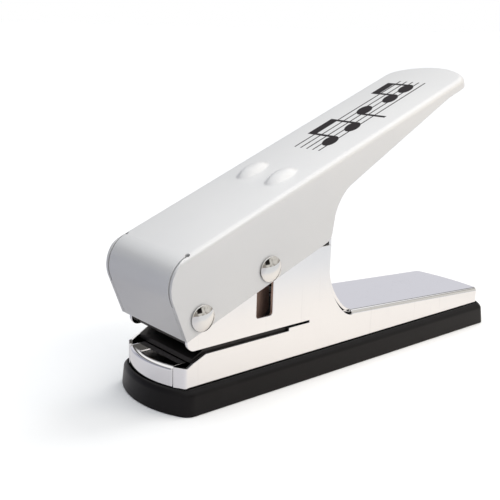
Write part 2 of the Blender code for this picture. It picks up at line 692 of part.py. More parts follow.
# An open ring that snaps into the groove of a post and stops the crosshead.
def make_post_clip(name, x, spring_steel):
    bore = POST_RADIUS - CLIP_GROOVE + GAP / 2
    low = clip_z()
    clip = place(name, turned(tube(bore, CLIP_RADIUS, low, low + CLIP_HEIGHT), (x, 0, 0),
                              closed=True, steps=24), spring_steel)
    half = POST_RADIUS * CLIP_MOUTH_SHARE
    mouth = block((x, -half, low - OVERRUN), (x + CLIP_RADIUS + OVERRUN, half,
                                              low + CLIP_HEIGHT + OVERRUN))
    cut(clip, place(f"{name}_mouth", mouth))


# A return spring is one wire wound as a steady helix round its guide post.
def make_return_spring(name, x, spring_steel):
    low = stripper_top_z + GAP + SPRING_WIRE_RADIUS
    high = arm_floor_z - GAP - SPRING_WIRE_RADIUS
    count = SPRING_TURNS * SPRING_STEPS
    points = []
    for k in range(count + 1):
        angle = 2 * pi * k / SPRING_STEPS
        points.append((x + SPRING_RADIUS * cos(angle), SPRING_RADIUS * sin(angle),
                       low + (high - low) * k / count))
    wire = bpy.data.curves.new(name, 'CURVE')
    wire.dimensions = '3D'
    wire.bevel_depth = SPRING_WIRE_RADIUS
    wire.bevel_resolution = 1
    wire.use_fill_caps = True
    line = wire.splines.new('POLY')
    line.points.add(count)
    for point, place_at in zip(line.points, points):
        point.co = (*place_at, 1)
    wire.materials.append(spring_steel)
    spring = bpy.data.objects.new(name, wire)
    bpy.context.scene.collection.objects.link(spring)
    print(name, "least gap between turns, mm:", round(least_gap(points) * 1000, 2))


def least_gap(points):
    half_turn = SPRING_STEPS // 2
    gaps = [(Vector(a) - Vector(b)).length
            for i, a in enumerate(points) for b in points[i + half_turn:]]
    return min(gaps) - 2 * SPRING_WIRE_RADIUS


def make_punch(tool_steel, ram):
    body = prism(pick_outline(), punch_edge_z, punch_top_z, 'Z')
    punch = place("punch", shifted(body, ram), tool_steel, ram)
    for index, x in enumerate(screw_places()):
        thread = turned(rod(PUNCH_SCREW_RADIUS + GAP, punch_top_z - PUNCH_SCREW_DEPTH - GAP,
                            punch_top_z + OVERRUN), (x, 0, 0), steps=16)
        cut(punch, place(f"punch_thread_{index}", thread))


# Brings world geometry into the frame of the empty that carries it.
def shifted(bm, mark):
    bmesh.ops.translate(bm, verts=bm.verts, vec=-Vector(mark.location))
    return bm


def screw_places():
    return (RAM_X - PUNCH_SCREW_OFFSET, RAM_X + PUNCH_SCREW_OFFSET)


# The crosshead joins punch, drive pin and springs; its ears slide on the guide posts.
def make_crosshead(steel, ram):
    low = punch_top_z + GAP
    half = CROSSHEAD_LENGTH / 2
    body = block((RAM_X - half, -CROSSHEAD_WIDTH / 2, low), (RAM_X + half, CROSSHEAD_WIDTH / 2, ARM_TOP_Z))
    head = place("crosshead", shifted(body, ram), steel, ram)
    front, rear = POST_FRONT_X - EAR_RADIUS, POST_REAR_X + EAR_RADIUS
    nose = EAR_RADIUS * EAR_ROUND_SHARE
    plan = rounded([(x, y, nose) for x, y in ((front, -EAR_RADIUS), (rear, -EAR_RADIUS),
                                              (rear, EAR_RADIUS), (front, EAR_RADIUS))], 6)
    arm = prism(plan, arm_floor_z, ARM_TOP_Z - FINE_STEP, 'Z')
    combine(head, place("crosshead_arm", arm), 'UNION')
    for name, x in (("front", POST_FRONT_X), ("rear", POST_REAR_X)):
        cut(head, place(f"ear_bore_{name}", turned(
            rod(POST_RADIUS + GAP, arm_floor_z - OVERRUN, ARM_TOP_Z + OVERRUN), (x, 0, 0), steps=20)))
    bore = rod(pin_bore, -CROSSHEAD_WIDTH, CROSSHEAD_WIDTH)
    cut(head, place("crosshead_pin_bore", turned(bore, (RAM_X, 0, PIN_Z), 'Y', steps=20)))
    seat = ARM_TOP_Z - PUNCH_SCREW_HEAD_HEIGHT - GAP
    for index, x in enumerate(screw_places()):
        profile = [(0, low - OVERRUN), (PUNCH_SCREW_RADIUS + GAP, low - OVERRUN),
                   (PUNCH_SCREW_RADIUS + GAP, seat - GAP),
                   (PUNCH_SCREW_HEAD_RADIUS + GAP, seat - GAP),
                   (PUNCH_SCREW_HEAD_RADIUS + GAP, ARM_TOP_Z + OVERRUN), (0, ARM_TOP_Z + OVERRUN)]
        cut(head, place(f"crosshead_screw_hole_{index}", turned(profile, (x, 0, 0), steps=16)))


def make_punch_screws(steel, ram):
    seat = ARM_TOP_Z - PUNCH_SCREW_HEAD_HEIGHT - GAP
    top = seat + PUNCH_SCREW_HEAD_HEIGHT
    floor = top - SOCKET_DEPTH
    profile = [(0, punch_top_z - PUNCH_SCREW_DEPTH), (PUNCH_SCREW_RADIUS, punch_top_z - PUNCH_SCREW_DEPTH),
               (PUNCH_SCREW_RADIUS, seat), (PUNCH_SCREW_HEAD_RADIUS, seat),
               (PUNCH_SCREW_HEAD_RADIUS, top), (SOCKET_RADIUS, top), (SOCKET_RADIUS, floor), (0, floor)]
    for name, x in zip(("front", "rear"), screw_places()):
        screw = turned(profile, (x, 0, 0), steps=18)
        place(f"punch_screw_{name}", shifted(screw, ram), steel, ram)


def dome(side):
    rim = head_seat + HEAD_RIM
    return [(HEAD_RADIUS * sin(k * pi / 2 / DOME_STEPS),
             side * (rim + HEAD_DOME * cos(k * pi / 2 / DOME_STEPS)))
            for k in range(DOME_STEPS + 1)]


# A rivet: domed head and shank in one, and a domed cap on the far end.
def make_rivet(name, chrome, mark):
    tip = head_seat + CAP_DEPTH - GAP
    profile = dome(-1) + [(HEAD_RADIUS, -head_seat), (PIN_RADIUS, -head_seat),
                          (PIN_RADIUS, tip), (0, tip)]
    place(name, turned(profile, axis='Y'), chrome, mark)
    socket = head_seat + CAP_DEPTH
    cap = dome(1) + [(HEAD_RADIUS, head_seat), (pin_bore, head_seat), (pin_bore, socket), (0, socket)]
    place(f"{name}_cap", turned(cap, axis='Y'), chrome, mark)


# Flanged bushes for the pivot pin, pressed into the walls.
def make_pivot_bushes(bronze):
    radius = pin_bore + BUSH_WALL
    flange = wall_inner - GAP
    start = flange - BUSH_FLANGE
    profile = [(pin_bore, start), (BUSH_FLANGE_RADIUS, start), (BUSH_FLANGE_RADIUS, flange),
               (radius, flange), (radius, wall_outer), (pin_bore, wall_outer)]
    for name, side in (("near", -1), ("far", 1)):
        half = [(r, side * h) for r, h in profile]
        place(f"pivot_bush_{name}", turned(half, (PIVOT_X, 0, PIVOT_Z), 'Y', closed=True), bronze)


def make_pivot_spacer(steel, mark):
    end = wall_inner - GAP - BUSH_FLANGE - GAP
    place("pivot_spacer", turned(tube(pin_bore, pin_bore + BUSH_WALL, -end, end),
                                 axis='Y', closed=True), steel, mark)


# Bushes on the drive pin that run in the slots of the walls and centre the crosshead.
def make_slide_bushes(nylon, ram):
    flange = wall_inner - GAP
    start = flange - BUSH_FLANGE
    inner = CROSSHEAD_WIDTH / 2 + GAP
    profile = [(pin_bore, inner), (bush_radius, inner), (bush_radius, start),
               (BUSH_FLANGE_RADIUS, start), (BUSH_FLANGE_RADIUS, flange), (bush_radius, flange),
               (bush_radius, wall_outer), (pin_bore, wall_outer)]
    for name, side in (("near", -1), ("far", 1)):
        half = [(r, side * h) for r, h in profile]
        place(f"slide_bush_{name}", turned(half, axis='Y', closed=True), nylon, ram)


# The lever's own frame: X along its top face, Z square to it, the pivot at the origin.
def lever_plan(inset):
    half = lever_outer - inset
    reach = LEVER_REACH - inset
    radius = LEVER_END_RADIUS - inset
    front = -LEVER_NOSE - 2 * OVERRUN
    end = [(reach - radius + sqrt(radius ** 2 - y ** 2), y, 0)
           for y in spread(-half, half, END_STEPS)]
    end[0] = (*end[0][:2], LEVER_CORNER - inset)
    end[-1] = (*end[-1][:2], LEVER_CORNER - inset)
    return rounded([(front, -half, 0), *end, (front, half, 0)])


# The lever as a full block with its long edges folded round, grown inwards by an inset.
def lever_block(name, inset, surface, mark):
    low = LEVER_TOP - LEVER_SKIRT - OVERRUN * (1 + (inset > 0))
    top = LEVER_TOP - inset
    bm = prism(lever_plan(inset), low, top, 'Z')
    rim = [e for e in bm.edges if all(abs(v.co.z - top) < FINE_STEP for v in e.verts)]
    bmesh.ops.bevel(bm, geom=rim, offset=LEVER_BEND - inset, segments=BEND_STEPS, profile=0.5,
                    affect='EDGES', offset_type='OFFSET')
    body = place(name, bm, surface, mark)
    nose_x, radius = -LEVER_NOSE + inset, NOSE_RADIUS - inset
    arc = [(nose_x + radius * (1 - cos(a)), top - radius * (1 - sin(a)))
           for a in spread(0, pi / 2, NOSE_STEPS)]
    hair = FINE_STEP / 5
    arc[-1] = (arc[-1][0], top + hair)
    ahead = nose_x - 3 * OVERRUN
    outline = [(ahead, low - OVERRUN), (nose_x, low - OVERRUN), *arc,
               (arc[-1][0], top + OVERRUN), (ahead, top + OVERRUN)]
    width = lever_outer + OVERRUN
    cut(body, place(f"{name}_nose_cut", prism(outline, -width, width), parent=mark))
    return body


def skirt_cut():
    floor = LEVER_TOP - LEVER_SKIRT
    grip_z = LEVER_TOP - GRIP_DEPTH
    end_z = LEVER_TOP - GRIP_END_DEPTH
    far = LEVER_REACH + OVERRUN
    low = floor - 3 * OVERRUN
    return rounded([(-LEVER_NOSE - OVERRUN, low, 0), (far, low, 0), (far, end_z, 0),
                    (grip_end, end_z, GRIP_SWEEP_RADIUS),
                    (THROAT_OF_GRIP, grip_z, GRIP_SWEEP_RADIUS),
                    (SKIRT_REAR, floor, SKIRT_CORNER), (-LEVER_NOSE - OVERRUN, floor, 0)], 6)


# The seam between the nose and the skirt, open round the nose and closed below it.
def nose_seam(side):
    centre = Vector((-LEVER_NOSE + NOSE_RADIUS, LEVER_TOP - NOSE_RADIUS))
    outer = NOSE_RADIUS + OVERRUN / 2
    inner = NOSE_RADIUS - LEVER_SHEET - OVERRUN / 2
    arc = spread(0, pi / 2, NOSE_STEPS)
    outline = [centre + Vector((-cos(a), sin(a))) * outer for a in arc]
    outline += [centre + Vector((-cos(a), sin(a))) * inner for a in reversed(arc)]
    outline += [centre + Vector((-inner, -SEAM_TAIL)), centre + Vector((-outer, -SEAM_TAIL))]
    start = lever_inner + FINE_STEP - SEAM_WIDTH
    return prism(outline, side * start, side * (start + SEAM_WIDTH))


def dimple(name, x, y, z, inset, mark):
    bm = bmesh.new()
    bmesh.ops.create_uvsphere(bm, u_segments=20, v_segments=12, radius=1)
    bmesh.ops.scale(bm, verts=bm.verts, vec=(DIMPLE_LENGTH / 2 - inset, DIMPLE_WIDTH / 2 - inset,
                                             DIMPLE_HEIGHT))
    bmesh.ops.translate(bm, verts=bm.verts, vec=(x, y, z))
    return place(name, bm, parent=mark)


# The lever is one folded sheet: top, skirts, a rolled nose whose flap hangs in front, and
# two domes pressed up for the thumb.
def make_lever(paint, mark):
    lever = lever_block("handle_shell", 0, paint, mark)
    for index, y in enumerate((-dimple_y, dimple_y)):
        combine(lever, dimple(f"dimple_{index}", DIMPLE_X, y, LEVER_TOP, 0, mark), 'UNION')
    cut(lever, lever_block("lever_hollow", LEVER_SHEET, None, mark))
    for index, y in enumerate((-dimple_y, dimple_y)):
        cut(lever, dimple(f"dimple_hollow_{index}", DIMPLE_X, y, LEVER_TOP - LEVER_SHEET,
                          LEVER_SHEET * 2 / 3, mark))
    width = lever_outer + OVERRUN
    cut(lever, place("skirt_cut", prism(skirt_cut(), -width, width), parent=mark))
    for name, side in (("near", -1), ("far", 1)):
        cut(lever, place(f"nose_seam_{name}", nose_seam(side), parent=mark))
        relief = turned(rod(RELIEF_RADIUS, LEVER_TOP - LEVER_BEND, LEVER_TOP + OVERRUN),
                        (-LEVER_NOSE + NOSE_RADIUS, side * (lever_inner - SEAM_WIDTH), 0), steps=16)
        cut(lever, place(f"nose_relief_{name}", relief, parent=mark))
    cut(lever, place("lever_pivot_bore", turned(rod(pin_bore, -width, width), axis='Y', steps=20),
                     parent=mark))
    cut(lever, place("lever_drive_slot", prism(drive_slot(), -width, width), parent=mark))
    even_shading(lever)


# The drive pin moves straight down while the lever swings, so its holes are short slots.
def drive_slot():
    run, rise = RAM_X - PIVOT_X, PIN_Z - PIVOT_Z
    rest_x = run * cos(LEVER_ANGLE) + rise * sin(LEVER_ANGLE)
    centre_z = rise * cos(LEVER_ANGLE) - run * sin(LEVER_ANGLE)
    half = PIN_RADIUS + GAP + DRIVE_SLACK
    left, right = run - pin_bore, rest_x + pin_bore
    corner = half * EAR_ROUND_SHARE
    return rounded([(left, centre_z - half, corner), (right, centre_z - half, corner),
                    (right, centre_z + half, corner), (left, centre_z + half, corner)], 6)


def build():
    clear_scene()
    chrome = finish("chrome", (0.86, 0.86, 0.88), 0.07, 1)
    paint = finish("silver paint", (0.80, 0.81, 0.83), 0.35, PEARL_SHARE)
    rubber = finish("black base", (0.02, 0.02, 0.022), 0.45, 0)
    tool_steel = finish("tool steel", (0.42, 0.42, 0.44), 0.25, 1)
    zinc = finish("zinc plated steel", (0.62, 0.63, 0.65), 0.3, 1)
    spring_steel = finish("spring steel", (0.35, 0.35, 0.37), 0.3, 1)
    bronze = finish("bronze", (0.55, 0.38, 0.18), 0.4, 1)
    nylon = finish("nylon", (0.82, 0.80, 0.74), 0.5, 0)

    lever = axis_point("lever_axis", PIVOT_X, PIVOT_Z, -LEVER_ANGLE)
    ram = axis_point("ram_axis", RAM_X, PIN_Z)

    make_tray(rubber)
    make_tray_screws(zinc)
    make_frame(chrome)
    make_apron(chrome)
    make_chute(rubber)
    make_die(tool_steel)
    make_card_stop(zinc)
    make_stripper(zinc)
    make_jaw_rivets(zinc)
    for name, x in (("front", POST_FRONT_X), ("rear", POST_REAR_X)):
        make_guide_post(f"guide_post_{name}", x, zinc)
        make_post_clip(f"post_clip_{name}", x, spring_steel)
        make_return_spring(f"return_spring_{name}", x, spring_steel)
    make_pivot_bushes(bronze)

    make_punch(tool_steel, ram)
    make_crosshead(zinc, ram)
    make_punch_screws(zinc, ram)
    make_rivet("drive_pin", chrome, ram)
    make_slide_bushes(nylon, ram)

    make_lever(paint, lever)
    make_rivet("pivot_pin", chrome, lever)
    make_pivot_spacer(zinc, lever)


build()
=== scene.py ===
import bmesh
import bpy
from math import asin, atan2, cos, pi, radians, sin, sqrt, tan
from mathutils import Matrix, Vector
from mathutils.geometry import interpolate_bezier


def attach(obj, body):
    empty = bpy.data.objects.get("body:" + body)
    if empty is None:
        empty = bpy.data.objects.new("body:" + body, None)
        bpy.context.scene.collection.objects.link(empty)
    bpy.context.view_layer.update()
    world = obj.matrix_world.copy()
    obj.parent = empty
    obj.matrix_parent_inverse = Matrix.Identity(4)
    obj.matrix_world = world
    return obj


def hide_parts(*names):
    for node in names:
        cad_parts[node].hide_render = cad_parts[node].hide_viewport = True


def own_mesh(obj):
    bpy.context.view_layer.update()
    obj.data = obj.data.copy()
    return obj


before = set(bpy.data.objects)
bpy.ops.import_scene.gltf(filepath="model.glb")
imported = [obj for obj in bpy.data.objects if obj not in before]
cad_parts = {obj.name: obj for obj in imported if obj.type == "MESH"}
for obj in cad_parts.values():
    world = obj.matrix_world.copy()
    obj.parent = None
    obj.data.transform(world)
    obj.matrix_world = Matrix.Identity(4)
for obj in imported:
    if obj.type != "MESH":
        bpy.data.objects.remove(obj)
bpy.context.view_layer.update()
print("frame loaded:", len(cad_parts), "nodes")

mm = 0.001
gap = 0.3 * mm             # clearance between neighbouring pieces
sheetThickness = 1.2 * mm
overrun = 1 * mm           # how far a cutting tool reaches past what it cuts
sameLevel = 0.01 * mm      # places closer than this count as one
merge = {"fine": 0.001 * mm, "usual": 0.002 * mm, "cut": 0.004 * mm, "spun": 0.005 * mm}

# what the pieces share
press = {
    "wallOuter": 15.9 * mm,
    "bend": 1.5 * mm,          # outer radius of the folds of the body
    "floorZ": 2.3 * mm,        # underside of the folded feet
    "apronApex": -77.1 * mm,
    "apronRadius": 30 * mm,
    "rearApex": 77.9 * mm,
    "rearRadius": 67 * mm,
    "pivot": Vector((-68.0, 0, 31.1)) * mm,
    "leverAngle": radians(21.4),
    "leverHalf": 17.9 * mm,
    "ramX": -41.25 * mm,
    "pinZ": 42.0 * mm,
    "pinRadius": 1.85 * mm,
    "footX": (-16.5 * mm, 62 * mm),
    "footY": 10.95 * mm,
}
webHalf = press["wallOuter"] - press["bend"]    # how far out the body's flat top reaches
wallLow = press["floorZ"] + press["bend"]       # lower edge of its flat walls
footPlaces = [(x, side * press["footY"]) for x in press["footX"] for side in (-1, 1)]
leverPlace = Matrix.Translation(press["pivot"]) @ Matrix.Rotation(-press["leverAngle"], 4, 'Y')


# Shader sockets

class Value:
    # one output of a node, usable in Python arithmetic
    def __init__(self, recipe, socket):
        self.recipe = recipe
        self.socket = socket

    def calc(self, operation, *others):
        return self.recipe.math(operation, self, *others)

    def other(self, name):
        return Value(self.recipe, self.socket.node.outputs[name])

    def __add__(self, other):
        return self.calc('ADD', other)

    def __sub__(self, other):
        return self.calc('SUBTRACT', other)

    def __rsub__(self, other):
        return self.recipe.math('SUBTRACT', other, self)

    def __mul__(self, other):
        return self.calc('MULTIPLY', other)

    def __truediv__(self, other):
        return self.calc('DIVIDE', other)

    def __pow__(self, other):
        return self.calc('POWER', other)

    def __abs__(self):
        return self.calc('ABSOLUTE')

    __radd__ = __add__
    __rmul__ = __mul__

    def most(self, other):
        return self.calc('MAXIMUM', other)

    def clamp(self):
        return self.most(0).calc('MINIMUM', 1)

    def step(self, low, high):
        # rises smoothly from 0 at low to 1 at high
        return self.recipe.add("ShaderNodeMapRange", {"interpolation_type": 'SMOOTHSTEP'},
                               {"Value": self, "From Min": low, "From Max": high})

    def part(self, low, high, share):
        return self.step(low, high) * share

    def over(self, below, low, high, color):
        # lays a colour over what is below, more and more from low to high
        return self.recipe.blend(self.step(low, high), below, color)


class Recipe:
    # the node tree of a finish
    def __init__(self, tree):
        self.tree = tree

    def add(self, kind, settings=None, inputs=None, output=0):
        node = self.tree.nodes.new(kind)
        for name, value in (settings or {}).items():
            setattr(node, name, value)
        for key, value in (inputs or {}).items():
            self.feed(node.inputs[key], value)
        return Value(self, node.outputs[output])

    def feed(self, socket, value):
        if isinstance(value, Value):
            self.tree.links.new(value.socket, socket)
        elif socket.type == 'RGBA' and len(value) == 3:
            socket.default_value = (*value, 1)
        else:
            socket.default_value = value

    def math(self, operation, *values):
        return self.add("ShaderNodeMath", {"operation": operation}, dict(enumerate(values)))

    def blend(self, factor, first, second):
        return self.add("ShaderNodeMix", {"data_type": 'RGBA'}, {0: factor, 6: first, 7: second}, 2)

    def place(self):
        return self.add("ShaderNodeTexCoord", output="Object")

    def noise(self, place, scale, detail=2, roughness=0.5):
        return self.add("ShaderNodeTexNoise", {}, {"Vector": place, "Scale": scale, "Detail": detail,
                                                   "Roughness": roughness})

    def stretched(self, place, scale):
        return self.add("ShaderNodeVectorMath", {"operation": 'MULTIPLY'}, {0: place, 1: scale})

    def bump(self, height, distance, strength):
        return self.add("ShaderNodeBump", {}, {"Height": height, "Distance": distance,
                                               "Strength": strength})

    def byRay(self, camera, mirrored, other):
        # one colour where the camera looks, one where metal mirrors it and one for the rest
        path = self.add("ShaderNodeLightPath", output="Is Camera Ray")
        return self.blend(path, self.blend(path.other("Is Glossy Ray"), other, mirrored), camera)


def finish(name, **constants):
    material = bpy.data.materials.new(name)
    material.use_nodes = True
    recipe = Recipe(material.node_tree)
    shader = material.node_tree.nodes["Principled BSDF"]

    def use(**sockets):
        for key, value in sockets.items():
            recipe.feed(shader.inputs[key.replace("_", " ")], value)
        return material

    use(**constants)
    return material, recipe, use


# Bmesh helpers

def outlineFace(bm, corners, seat, segments=8):
    # a flat face from (a, b, radius) corners, where seat turns (a, b) into a place
    verts = [bm.verts.new(seat(a, b)) for a, b, radius in corners]
    bm.faces.new(verts)
    for vert, (a, b, radius) in zip(verts, corners):
        if radius:
            one, other = (edge.other_vert(vert).co - vert.co for edge in vert.link_edges)
            half = one.angle(other) / 2
            bmesh.ops.bevel(bm, geom=[vert], offset=radius / tan(half), offset_type='OFFSET',
                            segments=segments, profile=0.5, affect='VERTICES', material=-1)


def rod(radius, low, high):
    return [(0, low), (radius, low), (radius, high), (0, high)]


def oblong(left, right, low, high, radius=0):
    return [(left, low, radius), (right, low, radius), (right, high, radius), (left, high, radius)]


def vertsOf(geom):
    return [item for item in geom if isinstance(item, bmesh.types.BMVert)]


def pushFaces(bm, faces, shift):
    grown = bmesh.ops.extrude_face_region(bm, geom=faces)
    bmesh.ops.translate(bm, verts=vertsOf(grown["geom"]), vec=shift)


def closed(outline, low, high, axis, segments=8):
    # a closed solid: an outline face extruded along Y or Z
    bm = bmesh.new()
    outlineFace(bm, outline, lambda a, b: (a, low, b) if axis == 'Y' else (a, b, low), segments)
    pushFaces(bm, bm.faces[:], (0, high - low, 0) if axis == 'Y' else (0, 0, high - low))
    bmesh.ops.recalc_face_normals(bm, faces=bm.faces)
    return bm


def turned(profile, centre, axis, steps=64):
    # spins a (radius, height) profile right round Y or Z
    along, across = Vector((0, 1, 0)), Vector((0, 0, 1))
    if axis == 'Z':
        along, across = across, Vector((1, 0, 0))
    bm = bmesh.new()
    verts = [bm.verts.new(Vector(centre) + across * radius + along * height)
             for radius, height in profile]
    for pair in zip(verts, verts[1:]):
        bm.edges.new(pair)
    bmesh.ops.spin(bm, geom=bm.verts[:] + bm.edges[:], cent=centre, axis=along,
                   angle=2 * pi, steps=steps, use_merge=True)
    tidyMesh(bm, merge["fine"])
    return bm


def spinEdge(bm, edge, centre, axis, angle, steps):
    # folds or turns an edge and returns the edge it ends in
    spun = bmesh.ops.spin(bm, geom=[edge, *edge.verts], cent=centre, axis=axis, angle=angle,
                          steps=steps)
    return next(item for item in spun["geom_last"] if isinstance(item, bmesh.types.BMEdge))


def pullEdges(bm, edges, move):
    # extrudes a row of edges; move gives each new vertex its place from its old one
    grown = bmesh.ops.extrude_edge_only(bm, edges=edges)["geom"]
    fresh = vertsOf(grown)
    for vert in fresh:
        vert.co = move(vert.co.copy())
    return [item for item in grown
            if isinstance(item, bmesh.types.BMEdge) and all(v in fresh for v in item.verts)]


def edgeAt(bm, *ends):
    start, end = (min(bm.verts, key=lambda vert: (vert.co - Vector(place)).length_squared)
                  for place in ends)
    return next(edge for edge in start.link_edges if end in edge.verts)


def tidyMesh(bm, span=merge["usual"]):
    bmesh.ops.remove_doubles(bm, verts=bm.verts, dist=span)
    bmesh.ops.recalc_face_normals(bm, faces=bm.faces)


def addObject(name, data):
    thing = bpy.data.objects.new(name, data)
    bpy.context.scene.collection.objects.link(thing)
    return thing


def makeObject(name, bm, place=None):
    if place:
        bmesh.ops.transform(bm, matrix=place, verts=bm.verts)
    mesh = bpy.data.meshes.new(name)
    bm.to_mesh(mesh)
    bm.free()
    return addObject(name, mesh)


def finalMesh(thing):
    graph = bpy.context.evaluated_depsgraph_get()
    return bpy.data.meshes.new_from_object(thing.evaluated_get(graph), depsgraph=graph)


def settle(thing):
    # makes the modifiers' result the mesh itself
    made = finalMesh(thing)
    thing.modifiers.clear()
    thing.data = made


def modify(thing, kind, **settings):
    step = thing.modifiers.new(kind.lower(), kind)
    for name, value in settings.items():
        setattr(step, name, value)


def thicken(thing):
    # gives a bent skin the thickness of the sheet
    modify(thing, 'SOLIDIFY', thickness=sheetThickness, offset=-1, use_even_offset=True)
    settle(thing)


def cutAway(thing, *tools):
    # one cut at a time, each tidied, because later cuts need a closed mesh
    for tool in tools:
        modify(thing, 'BOOLEAN', object=tool, operation='DIFFERENCE', solver='EXACT')
        settle(thing)
        bpy.data.objects.remove(tool, do_unlink=True)
        bm = bmesh.new()
        bm.from_mesh(thing.data)
        bmesh.ops.remove_doubles(bm, verts=bm.verts, dist=merge["cut"])
        bmesh.ops.dissolve_degenerate(bm, edges=bm.edges, dist=merge["cut"])
        bm.to_mesh(thing.data)
        bm.free()


def softenEdges(thing, width, segments=2, angle=50):
    # breaks the sharp edges and lets the flat faces lead the shading
    modify(thing, 'BEVEL', width=width, segments=segments, limit_method='ANGLE',
           angle_limit=radians(angle), use_clamp_overlap=False)
    thing.data.shade_smooth()
    modify(thing, 'WEIGHTED_NORMAL', weight=90, keep_sharp=True)


def enlist(thing, body, slot, material, *nodes):
    # gives a piece its finish and its body, and hides the nodes that it stands for
    thing.data.materials.clear()
    thing.data.materials.append(material)
    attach(thing, body)
    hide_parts(*nodes)


# Finishes
# a noise is (scale, detail, roughness), a mask (from, to, share) and a bump (depth, strength)

def pearlPaint():
    look = {
        "color": (0.728, 0.728, 0.730), "shade": (0.690, 0.694, 0.704), "rough": 0.38,
        "cloud": (45, 3), "cloudTone": (0.35, 0.7, 0.35),
        "flake": (4200, 1), "flakeTone": (0.55, 0.8, 0.18),
        "grime": (120, 4, 0.6), "grimeStretch": (1, 1, 2.5), "grimeRough": (0.45, 0.85, 0.10),
        "peel": (700, 2), "peelBump": (0.010 * mm, 0.6),
        "ink": (0.012, 0.009, 0.011), "inkRough": 0.5, "inkGloss": 0.10, "inkEdge": 0.10 * mm,
    }
    material, recipe, use = finish("pearlPaint", Metallic=0.4, IOR=1.45, Specular_IOR_Level=0.35,
                                   Coat_Weight=0.10, Coat_Roughness=0.25)
    place = recipe.place()
    shaded = (recipe.noise(place, *look["cloud"]).part(*look["cloudTone"])
              + recipe.noise(place, *look["flake"]).part(*look["flakeTone"]))
    grime = recipe.noise(recipe.stretched(place, look["grimeStretch"]), *look["grime"])
    use(Base_Color=recipe.blend(shaded, look["color"], look["shade"]),
        Roughness=look["rough"] + grime.part(*look["grimeRough"]),
        Normal=recipe.bump(recipe.noise(place, *look["peel"]), *look["peelBump"]))
    nodes = material.node_tree.nodes
    bare = Value(recipe, nodes["Principled BSDF"].outputs[0])
    inked = recipe.add("ShaderNodeBsdfPrincipled", {},
                       {"Base Color": look["ink"], "Roughness": look["inkRough"],
                        "Specular IOR Level": look["inkGloss"]})
    ink = musicPrint(recipe, place, look["inkEdge"])
    recipe.feed(nodes["Material Output"].inputs["Surface"],
                recipe.add("ShaderNodeMixShader", {}, {0: ink, 1: bare, 2: inked}))
    return material


def musicPrint(recipe, place, edge):
    # a plain staff with a few notes, printed in black on the lever's top; sizes in mm
    motif = {
        "level": (20.1, 0.05),     # height above the pivot where the print starts, and its fade
        "staff": (70.0, 128.0), "lineGap": 2.9, "lineWidth": 0.60,
        "heads": [(77.5, -4.3), (89.0, -4.3), (102.0, 1.45), (113.0, -1.45), (122.0, -1.45)],
        "headSize": (3.8, 2.75), "headLean": radians(20),
        "stems": [(80.5, -4.3, 8.4), (92.0, -4.3, 8.4), (98.9, -11.0, 1.45),
                  (116.0, -1.45, 9.2), (125.0, -1.45, 9.2)],
        "stemWidth": 1.25,
        "beams": [(79.9, 92.6, 5.6, 9.2), (115.4, 125.6, 6.4, 10.0)],
    }
    local = recipe.add("ShaderNodeMapping", {"vector_type": 'TEXTURE'},
                       {"Vector": place, "Location": press["pivot"],
                        "Rotation": (0, -press["leverAngle"], 0)})
    u = recipe.add("ShaderNodeSeparateXYZ", {}, {0: local})
    v, w = u.other("Y"), u.other("Z")

    def bar(low, high, bottom, top):
        outU = abs(u - (low + high) / 2 * mm) - (high - low) / 2 * mm
        outV = abs(v - (bottom + top) / 2 * mm) - (top - bottom) / 2 * mm
        return (0.5 - outU.most(outV) / edge).clamp()

    half, thick = motif["lineWidth"] / 2, motif["stemWidth"] / 2
    marks = [bar(*motif["staff"], k * motif["lineGap"] - half, k * motif["lineGap"] + half)
             for k in range(-2, 3)]
    marks += [bar(x - thick, x + thick, bottom, top) for x, bottom, top in motif["stems"]]
    marks += [bar(*beam) for beam in motif["beams"]]
    lean, (long, wide) = motif["headLean"], motif["headSize"]
    for x, y in motif["heads"]:
        du, dv = u - x * mm, v - y * mm
        a = (du * cos(lean) + dv * sin(lean)) / (long * mm)
        b = (dv * cos(lean) - du * sin(lean)) / (wide * mm)
        away = (a * a + b * b) ** 0.5
        marks.append(((1 - away) * wide * mm / edge + 0.5).clamp())
    ink = marks[0]
    for mark in marks[1:]:
        ink = ink.most(mark)
    low, fade = motif["level"]
    return ink * ((w - low * mm) / (fade * mm)).clamp()


def mirrorChrome(name, color=(0.87, 0.865, 0.865), rough=0.035):
    look = {
        "worn": tuple(c * 0.9 for c in color), "wave": (38, 1), "waveBump": (0.020 * mm, 0.5),
        "smudge": (90, 5, 0.65), "smudgeTone": (0.5, 0.9, 0.45), "smudgeRough": (0.48, 0.85, 0.06),
        "streak": (700, 2), "streakStretch": (1, 1, 0.03), "streakTone": (0.62, 0.75, 0.4),
        "streakRough": (0.6, 0.8, 0.05),
    }
    material, recipe, use = finish(name, Metallic=1.0)
    place = recipe.place()
    smudge = recipe.noise(place, *look["smudge"])
    streak = recipe.noise(recipe.stretched(place, look["streakStretch"]), *look["streak"])
    worn = smudge.part(*look["smudgeTone"]) + streak.part(*look["streakTone"])
    return use(Base_Color=recipe.blend(worn, color, look["worn"]),
               Roughness=rough + smudge.part(*look["smudgeRough"])
               + streak.part(*look["streakRough"]),
               Normal=recipe.bump(recipe.noise(place, *look["wave"]), *look["waveBump"]))


